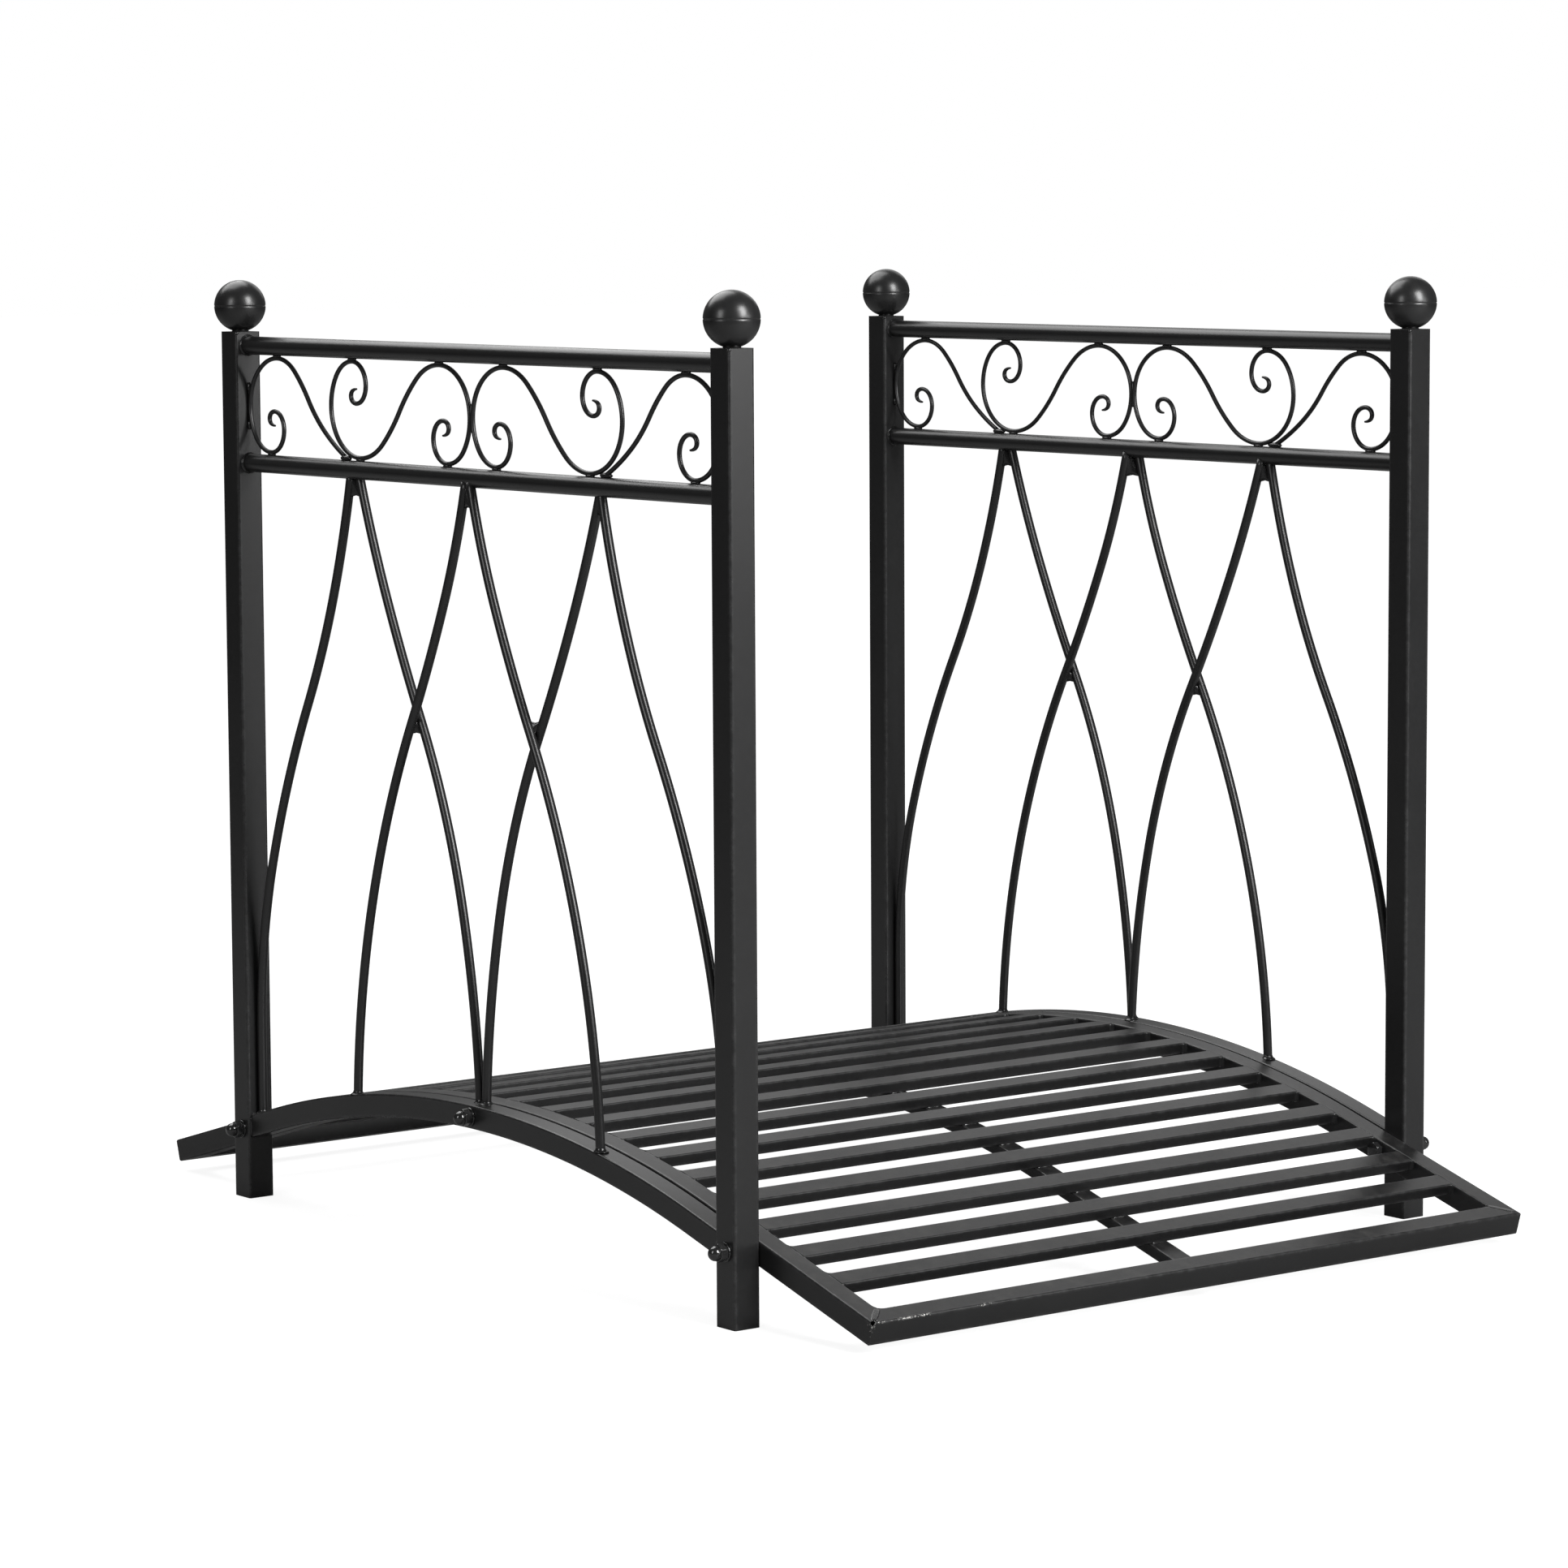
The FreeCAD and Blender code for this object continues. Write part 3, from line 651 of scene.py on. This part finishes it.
def makePosts():
    # from the bore's blind top down its wall, round the open foot and up the outside to the closed top
    outer, edge = boxRing(postSize, postSize, posts["corner"])
    bore = postSize - 2 * posts["wall"]
    inner, edge = boxRing(bore, bore, posts["corner"] / 2)
    heights = withShoulders(np.linspace(0, postTop, 33))
    depths = (postTop - posts["topPlate"], 0.3, 0.0003, 0.0)
    down = [joined(inner[:, 0] + postX, inner[:, 1] - postY, z) for z in depths]
    upwards = [joined(outer[:, 0] + postX, outer[:, 1] - postY, z) for z in heights]
    grid = np.stack(down + upwards)
    putOnEach("post", "post", [shell(capped(grid), cappedEdge(edge, len(grid)))], railingFinish)


def roundAbout(radius, heights, count=72):
    # rings of the given radius and height about the near right post's axis
    flat = roundRing(count)[None] * radius[..., None]
    return joined(flat[..., 0] + postX, flat[..., 1] - postY, heights[:, None])


def makeBalls():
    # sphere with a fine groove round its equator, with a painted highlight line along it; the neck is a
    # fillet down to the post's top
    small = balls["seamWidth"] / (balls["diameter"] / 2)
    beside = small * np.array([-2.5, -1.5, -0.7, 0.7, 1.5, 2.5])
    tilt = np.sort(np.concatenate([np.linspace(-1.50, 1.50, 57), beside]))
    groove = balls["seamDepth"] * np.exp(-(tilt / small) ** 2)
    radius = balls["diameter"] / 2 - groove
    ball = roundAbout((radius * np.cos(tilt))[:, None], ballZ + radius * np.sin(tilt))
    # the seam's band is lightened through the coat's edge channel: a painted highlight
    seam = balls["seamPaintedHighlight"] * np.exp(-(tilt / (small * 2)) ** 2)[:, None]
    level = np.linspace(0, 1, 9)
    neck = balls["neckRadius"] - balls["neckDraw"] * level + balls["neckFlare"] * level ** 2
    wobble = 1 + 0.03 * lumps(72, 11)
    collar = roundAbout(neck[:, None] * wobble, postTop - balls["neckSink"] + balls["neckRise"] * level)
    putOnEach("ball", "ball_finial", [shell(ball, seam), shell(collar)], railingFinish)


def putOnRows(name, node, shells):
    for row in rowNames:
        putPiece(name + row.title(), placedAt(shells, row, "right"), railingFinish, node + row)


def makeRoundRails():
    along = withShoulders(np.linspace(-halfSpan, halfSpan, 41))
    ring = roundRing(44) * railRadius
    for name, z in (("top", topRailZ), ("mid", midRailZ)):
        path = joined(along, -postY, z)
        rail = bar((ring, np.zeros(44)), path, acrossY, np.array([0.0, 0.0, 1.0]))
        putOnRows(name + "Rail", name + "_rail_", [rail])


def archStation(x, depth):
    # how far along the deck's line the point at this depth reaches x, out on the tail
    return arcLength + (x + depth * slopeSin - archRadius * slopeSin) / slopeCos


def makeArchBars():
    end = archStation(halfSpan, half)
    path, ahead, up = deckLine(withShoulders(np.linspace(-end, end, 73)), half)
    path[:, 1] = -postY
    lean = tubeRing[0][:, 1] * slopeTan
    putOnRows("archBar", "arch_bar_", [bar(tubeRing, path, acrossY, up, lean, -lean)])


makePosts()
makeBalls()
makeRoundRails()
makeArchBars()
print("posts, rails, arch bars and balls made")


rods = {
    "diameter": 0.008, "pitch": 0.1795, "gap": 0.0003,
    "crossRise": 0.614, "crossOut": 0.485, "crossTilt": 28.5, "outerCrossOut": 0.48, "footRise": 0.075,
    "apexTilt": {"outer": 12.0, "middle": 14.0, "inner": 18.0},
    "footTilt": {"middle": 2.0, "inner": 2.5},
    "layers": {"front": {"right": 1, "left": 1}, "rear": {"right": 1, "left": -1}},     # -1 swaps the rods
}
scrolls = {
    "diameter": 0.004, "reach": 0.616, "fall": 54.0, "tailFall": 27.0, "tailInset": 0.26,
    "swingOut": 0.54, "swingUp": 0.58, "tipShare": 0.42, "tipLength": 0.013,
    # small curl, then big loop: shares of the band's rise out and up, then the heading in degrees
    "curl": (
        (0.490, 0.285, 180), (0.382, 0.358, 90), (0.482, 0.436, 0), (0.663, 0.245, -90),
        (0.410, 0.000, -180), (0.000, 0.475, -270), (0.545, 1.000, -360),
    ),
}
loopLow = scrolls["curl"][4][0]
loopSide = scrolls["curl"][5][1]
loopHigh = scrolls["curl"][6][0]
rodRadius = rods["diameter"] / 2
rodLayer = rodRadius + rods["gap"] / 2
apexBeside = rodLayer / math.cos(math.radians(rods["apexTilt"]["inner"]))
rodTopZ = midRailZ - railRadius - rods["gap"]
crossX = rods["crossOut"] * rods["pitch"]
crossZ = crestZ + rods["crossRise"] * (rodTopZ - crestZ)
wireRadius = scrolls["diameter"] / 2
bandLow = midRailZ + railRadius + rods["gap"] + wireRadius
bandHigh = topRailZ - railRadius - rods["gap"] - wireRadius
bandRise = bandHigh - bandLow


def direction(degrees):
    turn = np.radians(degrees)
    return np.stack([np.cos(turn), np.sin(turn)], -1)


def arcPoints(start, heading, finish, steps):
    # chord of length c at half turn h: a point at share u lies c sin(h u) / sin(h) away, at heading + h u
    chord = finish - start
    ahead = direction(heading)
    halfTurn = math.atan2(ahead[0] * chord[1] - ahead[1] * chord[0], ahead @ chord)
    share = np.linspace(0, 1, steps + 1)[1:]
    reach = share if abs(halfTurn) < 1e-6 else np.sin(halfTurn * share) / math.sin(halfTurn)
    turned = np.degrees(halfTurn) * share
    points = start + np.linalg.norm(chord) * reach[:, None] * direction(heading + turned)
    return points, heading + 2 * np.degrees(halfTurn) * share


def bentLine(stations, steps=14):
    # stations of (x, z, heading), each pair joined by two arcs that share a tangent
    points = [np.array([stations[0][:2]])]
    headings = [np.array([float(stations[0][2])])]
    for (x0, z0, h0), (x1, z1, h1) in zip(stations, stations[1:]):
        start = np.array([x0, z0])
        finish = np.array([x1, z1])
        leave = direction(h0)
        arrive = direction(h1)
        chord = finish - start
        a = 2 * (leave @ arrive - 1)
        b = -2 * chord @ (leave + arrive)
        c = chord @ chord
        reach = -c / b if abs(a) < 1e-9 else (-b - math.sqrt(b * b - 4 * a * c)) / (2 * a)
        joint = (start + leave * reach + finish - arrive * reach) / 2
        for first, heading, last in ((start, h0, joint), (joint, None, finish)):
            heading = headings[-1][-1] if heading is None else heading
            arc, turned = arcPoints(first, heading, last, steps)
            points.append(arc)
            headings.append(turned)
    return np.concatenate(points), np.concatenate(headings)


def roundBar(line, headings, y, radius, count):
    # circle carried along a line in the plane at y; radius may change along it
    side = direction(headings + 90)
    side = joined(side[:, 0], 0.0, side[:, 1])
    size = np.broadcast_to(radius, len(line))[:, None, None]
    return shell(carried(size * roundRing(count), joined(line[:, 0], y, line[:, 1]), acrossY, side))


def rodStations(kind):
    sink = deck["tube"] / 4
    tilt = rods["apexTilt"][kind]
    shift = sink * math.tan(math.radians(tilt))
    startZ = rodTopZ + sink
    if kind == "outer":
        footX = halfSpan - rods["gap"] - rodRadius
        footZ = float(deckTop(footX))
        crossFootX = rods["pitch"] + rods["outerCrossOut"] * (footX - rods["pitch"])
        return [
            (rods["pitch"] + apexBeside - shift, startZ, -90 + tilt),
            (crossFootX, crossZ, -90 + rods["crossTilt"]),
            (footX, footZ + rods["footRise"], -90),
            (footX, footZ - sink, -90),
        ]
    if kind == "middle":
        return [
            (apexBeside - shift, startZ, -90 + tilt),
            (crossX, crossZ, -90 + rods["crossTilt"]),
            (rods["pitch"], float(deckTop(rods["pitch"])) - sink, -90 + rods["footTilt"][kind]),
        ]
    return [
        (rods["pitch"] - apexBeside + shift, startZ, -90 - tilt),
        (crossX, crossZ, -90 - rods["crossTilt"]),
        (apexBeside, crestZ - sink, -90 - rods["footTilt"][kind]),
    ]


def makeRods():
    for kind, sign in (("outer", 0), ("middle", -1), ("inner", 1)):
        line, headings = bentLine(rodStations(kind), 18)
        for row in rowNames:
            for side in sideNames:
                layer = sign * rods["layers"][row][side] * rodLayer
                rod = roundBar(line, headings, -postY + layer, rodRadius, 24)
                placed = placedAt([rod], row, side)
                node = kind + "_rod_" + row + "_" + side
                putPiece(kind + "Rod" + row.title() + side.title(), placed, railingFinish, node)


def curlStations(sideX, facing):
    # the curl's stations set out from sideX, with their headings turned round where it faces the other way
    return [
        (sideX + facing * out * bandRise, bandLow + up * bandRise, turn if facing > 0 else 180 - turn)
        for out, up, turn in scrolls["curl"]
    ]


def scrollStations(kind):
    far = scrolls["reach"] * halfSpan
    if kind == "inner":
        near = wireRadius + rods["gap"] / 2
        middleX = (near + far) / 2
        middleZ = (bandLow + bandHigh) / 2
        first = curlStations(near, 1)
        middle = (middleX, middleZ, -360 - scrolls["fall"])
        second = [(2 * middleX - x, 2 * middleZ - z, turn) for x, z, turn in reversed(first)]
        return first + [middle] + second
    loop = curlStations(halfSpan - rods["gap"] - wireRadius, -1)
    endX = far - scrolls["tailInset"] * bandRise
    swingX = endX + scrolls["swingOut"] * (loop[-1][0] - endX)
    return loop + [
        (swingX, bandLow + scrolls["swingUp"] * bandRise, 540 + scrolls["fall"]),
        (endX, bandLow + 0.0002, 540 + scrolls["tailFall"]),
    ]


def makeScrolls():
    for kind in ("inner", "outer"):
        line, headings = bentLine(scrollStations(kind), 12)
        steps = np.linalg.norm(np.diff(line, axis=0), axis=1)
        run = np.concatenate([[0], np.cumsum(steps)])
        fromTip = run if kind == "outer" else np.minimum(run, run[-1] - run)
        taper = np.clip(fromTip / scrolls["tipLength"], 0, 1)
        taper = scrolls["tipShare"] + (1 - scrolls["tipShare"]) * np.sin(taper * np.pi / 2)
        wire = roundBar(line, headings, -postY, wireRadius * taper, 18)
        putOnEach(kind + "Scroll", kind + "_scroll", [wire], railingFinish)


makeRods()
makeScrolls()
print("rods and scrolls made")


fasteners = {
    "flats": 0.013, "headHeight": 0.0053, "crown": 0.95, "chamfer": 30.0, "faceWearAndHighlight": 0.3,
    "washer": 0.016, "washerThickness": 0.0015,
    "hexHeight": 0.0065, "nutHeight": 0.014, "dome": 0.012, "bolt": 0.008, "studDepth": 0.004,
}
aroundTurns = np.arange(72) * 2 * np.pi / 72


def turnedShell(radius, heights, place, side, wear=None):
    # rings about an axis along Y: place + (r cos, side * height, r sin)
    radius = radius.reshape(len(heights), -1)
    spun = joined(radius * np.cos(aroundTurns), side * heights[:, None], radius * np.sin(aroundTurns))
    return shell(spun + np.array(place), wear)


def hexShell(height, straight, place, side):
    # radius flats / 2 / cos(angle off the flat), cut by the chamfer's cone near the end face
    low = np.linspace(0.001, straight, 5)
    levels = np.concatenate([[0, 0.0003], low, np.linspace(straight + 0.0002, height, 8)])
    off = (aroundTurns + np.pi / 6) % (np.pi / 3) - np.pi / 6
    flat = fasteners["flats"] / 2 / np.cos(off)
    cone = fasteners["crown"] * fasteners["flats"] / 2
    cone = cone + (levels.max() - levels) / math.tan(math.radians(fasteners["chamfer"]))
    radius = np.minimum(flat[None], cone[:, None])
    # the whole hexagon gets a share of the coat's edge lightening, as wear and as painted highlight
    return turnedShell(radius, levels, place, side, fasteners["faceWearAndHighlight"])


def washerShell(place):
    levels = np.array([0.0, 0.00005, 0.0003, 0.0012, 0.00145, fasteners["washerThickness"]])
    radius = fasteners["washer"] / 2 - np.array([0.0003, 0.0, 0.0, 0.0, 0.00025, 0.0007])
    return turnedShell(radius, levels, place, -1)


def domeShell(place):
    # quarter circle turned about the bolt's axis, on a short neck sunk in the hexagon
    domeRadius = fasteners["dome"] / 2
    base = fasteners["nutHeight"] - domeRadius
    tilt = np.linspace(0, 1.52, 16)
    levels = np.concatenate([[fasteners["hexHeight"] - 0.0005], base + domeRadius * np.sin(tilt)])
    radius = np.concatenate([[domeRadius], domeRadius * np.cos(tilt)])
    return turnedShell(radius, levels, place, -1)


def studShell(place):
    # the flush end of a stud
    levels = np.array([-fasteners["studDepth"], -0.0006, -0.0001, 0.0])
    radius = fasteners["bolt"] / 2 - np.array([0.0, 0.0, 0.0002, 0.0005])
    return turnedShell(radius, levels, place, 1)


def boltCentres():
    postZ = float(deckTop(postX)) - half / slopeCos
    postFace = -halfDeck - postSize
    return (postX, postZ, postFace), (0.0, crestZ - half, -postY - half), (-postX, postZ, postFace)


def makeFasteners():
    nuts = []
    bolts = []
    for x, z, face in boltCentres():
        seat = (x, face - fasteners["washerThickness"], z)
        head = (x, -halfDeck + deck["tube"], z)
        nuts += [washerShell((x, face, z)), hexShell(fasteners["hexHeight"], 0.005, seat, -1)]
        nuts.append(domeShell(seat))
        bolts.append(hexShell(fasteners["headHeight"], 0.0038, head, 1) if x else studShell(head))
    putPiece("capNuts", nuts + mirrored(nuts, 1), nutFinish, "cap_nuts")
    putPiece("boltHeads", bolts + mirrored(bolts, 1), nutFinish, "bolts")


makeFasteners()
print("fasteners made")


welds = {"ripple": 0.16, "blobLumps": 0.10, "chip": 0.25, "webChip": 0.15}
deckWelds = {
    # widths, heights and depths in metres
    "fillet": 0.0036, "filletSpread": 0.0008, "filletShort": 0.0008,
    "seam": (0.0017, 0.0010), "seamInset": 0.0006, "spineBead": (0.0013, 0.0013),
    "mitreWidth": 0.0027, "mitreHeight": 0.0003, "nearMitreHeight": 0.0005, "mitreStop": 0.15,
    "innerFillet": 0.0055, "innerDepth": 0.018,
}
railingWelds = {
    # bars: (spread, rise) of the ring of weld; webs: reach along the bars; spots: half sizes
    "rail": (0.0013, 0.0016), "foot": (0.0024, 0.0032),
    "apexReach": 0.0128, "middleReach": 0.0150, "apexDepth": 0.0030,
    "crossNear": 0.0030, "crossFar": 0.0098, "crossDepth": 0.0022, "crossSlant": 0.75, "crossSlack": 0.0018,
    "barTop": (0.0017, 0.0017), "barSide": (0.0016, 0.0013), "barInset": 0.002,
    "postSpot": (0.0019, 0.0019, 0.0018), "postSpotInset": 0.0014,
    "wireSpot": (0.0062, 0.0021, 0.0012), "tailSpot": (0.0085, 0.0026, 0.0024),
    "pairSpot": (0.0017, 0.0016, 0.012),
    "sideSpot": (0.0022, 0.0021, 0.0042), "sideSpotShifts": (-0.016, 0.017),
}
weldSeeds = itertools.count(101)


def bead(start, finish, width, height, up, steps=14, count=12, ripple=welds["ripple"]):
    # half buried rope of weld from start to finish: an ellipse whose size swells and ripples along the way
    start = np.array(start, float)
    finish = np.array(finish, float)
    share = np.linspace(0, 1, steps)
    path = start + share[:, None] * (finish - start)
    ahead = (finish - start) / np.linalg.norm(finish - start)
    up = np.array(up, float)
    across = np.cross(ahead, up)
    swell = np.sqrt(np.clip(1 - (2 * share - 1) ** 6, 0.05, 1))
    swell = swell * (1 + ripple * lumps(steps, next(weldSeeds), 6))
    ring = roundRing(count) * np.array([width, height]) * swell[:, None, None]
    return shell(carried(ring, path, across, up), None, welds["chip"])


def blob(centre, sizes, steps=11, count=16):
    # ellipsoid with seeded lumps: (a cos t cos p, b cos t sin p, c sin t)
    tilt = np.linspace(-1.5, 1.5, steps)
    ring = roundRing(count)
    swell = 1 + welds["blobLumps"] * lumps(count, next(weldSeeds))[None] * np.cos(tilt)[:, None]
    x = sizes[0] * np.cos(tilt)[:, None] * ring[None, :, 0] * swell
    y = sizes[1] * np.cos(tilt)[:, None] * ring[None, :, 1] * swell
    z = sizes[2] * np.sin(tilt)[:, None]
    return shell(np.array(centre) + joined(x, y, z), None, welds["chip"])


def collar(centre, axis, inner, spread, rise, steps=7, count=28):
    # concave ring of weld round a bar: radius inner + spread (1 - level)^2, rising along the axis
    axis = np.array(axis, float)
    axis /= np.linalg.norm(axis)
    side = np.cross(axis, acrossY if abs(axis[1]) < 0.9 else np.array([1.0, 0.0, 0.0]))
    side /= np.linalg.norm(side)
    other = np.cross(axis, side)
    level = np.linspace(0, 1, steps)
    ring = roundRing(count)
    rough = 1 + 0.22 * lumps(count, next(weldSeeds), 7)
    radius = inner + spread * ((1 - level) ** 2)[:, None] * rough + 0.00005
    rises = (level * rise)[:, None] * (1 + 0.15 * lumps(count, next(weldSeeds), 5))
    flat = radius[..., None] * (ring[None, :, :1] * side + ring[None, :, 1:] * other)
    return shell(np.array(centre) + flat + rises[..., None] * axis, None, welds["chip"])


def cornerFillet(corner, along, out, up, size, depth, steps=9):
    # concave wedge in an inner corner: quarter circle about (size, size), its ends run on under the metal
    turns = np.linspace(0, np.pi / 2, steps)
    curve = np.stack([1 - np.sin(turns), 1 - np.cos(turns)], -1) * size
    run = size * 1.5
    outline = np.concatenate([[[run, -0.0003]], curve, [[-0.0003, run]], [[-0.0010, -0.0010]]])
    rough = 1 + 0.05 * lumps(len(outline), next(weldSeeds))
    levels = np.array([0, 0.0002, 0.0006, 0.0012, 0.002, depth / 2, depth - 0.0012, depth - 0.0004, depth])
    shrink = np.array([0.50, 0.74, 0.90, 0.98, 1.0, 1.0, 1.0, 0.92, 0.70])
    flat = (outline * rough[:, None])[None] * shrink[:, None, None]
    grid = flat[..., :1] * np.array(along) + flat[..., 1:] * np.array(out)
    return shell(np.array(corner) + grid - levels[:, None, None] * np.array(up))


def makeDeckWelds():
    values = deckWelds
    fillets = []
    shells = []
    inside = -halfDeck + deck["tube"]
    for point, ahead, up in zip(*deckLine(slatPlaces, 0.0004)):
        for way in (-1, 1):
            corner = point + way * ahead * slats["width"] / 2
            corner[1] = inside
            random = np.random.default_rng(next(weldSeeds))
            size = values["fillet"] + values["filletSpread"] * random.uniform(-1, 1)
            depth = slats["height"] - values["filletShort"]
            fillets.append(cornerFillet(corner, way * ahead, acrossY, up, size, depth))
        seam = point - 0.0008 * up
        seam[1] = inside
        reach = ahead * (slats["width"] / 2 - values["seamInset"])
        fillets.append(bead(seam - reach, seam + reach, *values["seam"], up, 20))
    fillets += mirrored(fillets, 1)
    putPiece("deckFillets", fillets, deckShadedFinish)
    across = np.array([0, slats["width"] / 2 - 0.002, 0])
    for point, ahead, up in zip(*deckLine(slatPlaces, slats["height"])):
        for way in (-1, 1):
            middle = point + way * ahead * (slats["width"] / 2 - 0.0004)
            shells.append(bead(middle - across, middle + across, *values["spineBead"], up))
    end, ahead, up = [v[0] for v in deckLine(np.array([halfRun]), 0.0)]
    for ySign, xSign in ((-1, 1), (1, 1), (-1, -1), (1, -1)):
        flip = np.array([xSign, 1, 1])
        outer = end * flip + np.array([0, ySign * halfDeck, 0])
        inner = (end - ahead * deck["tube"]) * flip + np.array([0, ySign * (halfDeck - deck["tube"]), 0])
        top = up * flip
        height = values["nearMitreHeight"] if (ySign, xSign) == (-1, 1) else values["mitreHeight"]
        stop = outer + (inner - outer) * values["mitreStop"]
        shells.append(bead(inner, stop, values["mitreWidth"], height, top, 26, 16, 0.07))
        corner = inner - top * 0.0003
        size = values["innerFillet"]
        shells.append(cornerFillet(corner, -ahead * flip, acrossY * -ySign, top, size, values["innerDepth"]))
    putPiece("deckWelds", shells, {**weldFinish, "slot": "deck_coat"})


def makeRailingWelds(row):
    # all built at Y < 0; the rear ones are turned over at the end
    values = railingWelds
    y = -postY
    shells = []
    leans = {kind: math.tan(math.radians(tilt)) for kind, tilt in rods["apexTilt"].items()}
    apexZ = rodTopZ + 0.0004
    for sign, side in ((1, "right"), (-1, "left")):
        layer = rods["layers"][row][side] * rodLayer
        for z in (topRailZ, midRailZ):
            place = (sign * halfSpan, y, z)
            shells.append(collar(place, (-sign, 0, 0), railRadius, *values["rail"]))
        feet = (
            (halfSpan - rods["gap"] - rodRadius, 0.0),
            (rods["pitch"], -layer),
            (apexBeside, layer),
        )
        for x, shift in feet:
            place = (sign * x, y + shift, float(deckTop(x)) - 0.0002)
            shells.append(collar(place, (0, 0, 1), rodRadius, *values["foot"]))
        slopes = sorted((-sign * leans["inner"], sign * leans["outer"]))
        place = (sign * rods["pitch"], y + layer / 2, apexZ)
        slant = -sign * layer / 2
        shells.append(weldWeb(place, slopes, 0.0, values["apexReach"], values["apexDepth"], -1, slant))
        if side == "right":
            other = rods["layers"][row]["left"] * rodLayer
            place = (0.0, y - (layer + other) / 2, apexZ)
            slopes = (-leans["middle"], leans["middle"])
            slant = (other - layer) / 2
            shells.append(weldWeb(place, slopes, 0.0, values["middleReach"], values["apexDepth"], -1, slant))
        shells += crossWebs(sign, y, layer)
        shells += archBarWelds(sign, y)
        way = -1 if row == "front" else 1
        inset = values["postSpotInset"]
        place = (sign * postX + postSize / 2 - inset, y + way * (postSize / 2 - inset), postTop - inset)
        shells.append(blob(place, values["postSpot"]))
        shells += scrollWelds(sign, y)
    shells.append(blob((0, y, bandLow + loopSide * bandRise), values["pairSpot"]))
    if row == "rear":
        shells = mirrored(shells, 1)
    putPiece("railingWelds" + row.title(), shells, weldFinish)


def weldWeb(place, slopes, near, far, depth, way, slant=0.0, slack=0.0011, steps=9, count=28):
    # weld between two bars that part from place: at distance d it spans from slopes[0] * d to slopes[1] * d,
    # its two sides lie slant apart in depth, and its free end hangs lower along the bars than in the middle
    ring = roundRing(count)
    level = np.linspace(0, 1, steps)
    run = near + (far - near) * level
    left = slopes[0] * (run - near) - slack
    right = slopes[1] * (run - near) + slack
    swell = 1 + 0.05 * lumps(count, next(weldSeeds), 5)
    wide = (left + right)[:, None] / 2 + (right - left)[:, None] / 2 * ring[None, :, 0]
    deep = depth * (1 - 0.40 * level ** 2)[:, None] * (ring[:, 1] * swell)[None] + slant * ring[None, :, 0]
    hang = run[:, None] + 0.0025 * (level ** 3)[:, None] * (ring[:, 0] ** 2)[None]
    x, y, z = place
    return shell(joined(x + wide, y + deep, z + way * hang), None, welds["webChip"])


def crossWebs(sign, y, layer):
    # the two acute corners where the rods cross, from one rod's layer to the other's
    values = railingWelds
    slope = math.tan(math.radians(rods["crossTilt"]))
    sizes = [values[name] for name in ("crossNear", "crossFar", "crossDepth")]
    slant = sign * layer * values["crossSlant"]
    place = (sign * crossX, y, crossZ)
    slopes = (-slope, slope)
    return [weldWeb(place, slopes, *sizes, way, way * slant, values["crossSlack"]) for way in (1, -1)]


def archBarWelds(sign, y):
    # beads where the arch bar ends on the post: across its top and down both sides
    inset = railingWelds["barInset"]
    drop = deck["tube"] / slopeCos - 2 * inset
    inner = np.array([sign * halfSpan, y, float(deckTop(halfSpan))])
    reach = np.array([0, half - inset, 0])
    made = [bead(inner - reach, inner + reach, *railingWelds["barTop"], (0, 0, 1.0))]
    for way in (-1, 1):
        top = inner + (0, way * half, -inset)
        made.append(bead(top, top - (0, 0, drop), *railingWelds["barSide"], (0, float(way), 0)))
    return made


def scrollWelds(sign, y):
    # spots of weld where the wires touch the rails and the post
    values = railingWelds
    near = wireRadius + rods["gap"] / 2
    far = scrolls["reach"] * halfSpan
    side = halfSpan - rods["gap"] - wireRadius
    low = bandLow - wireRadius + 0.0002
    high = bandHigh + wireRadius - 0.0002
    tops = (near + loopHigh * bandRise, far - loopLow * bandRise, side - loopHigh * bandRise)
    lows = (near + loopLow * bandRise, far - loopHigh * bandRise, side - loopLow * bandRise)
    made = [blob((sign * x, y, high), values["wireSpot"]) for x in tops]
    made += [blob((sign * x, y, low), values["wireSpot"]) for x in lows]
    tail = far - (scrolls["tailInset"] + 0.02) * bandRise
    made.append(blob((sign * tail, y, low + 0.001), values["tailSpot"]))
    middle = bandLow + loopSide * bandRise
    for shift in values["sideSpotShifts"]:
        made.append(blob((sign * (halfSpan - 0.001), y, middle + shift), values["sideSpot"]))
    return made


makeDeckWelds()
for rowName in rowNames:
    makeRailingWelds(rowName)
print("welds made")
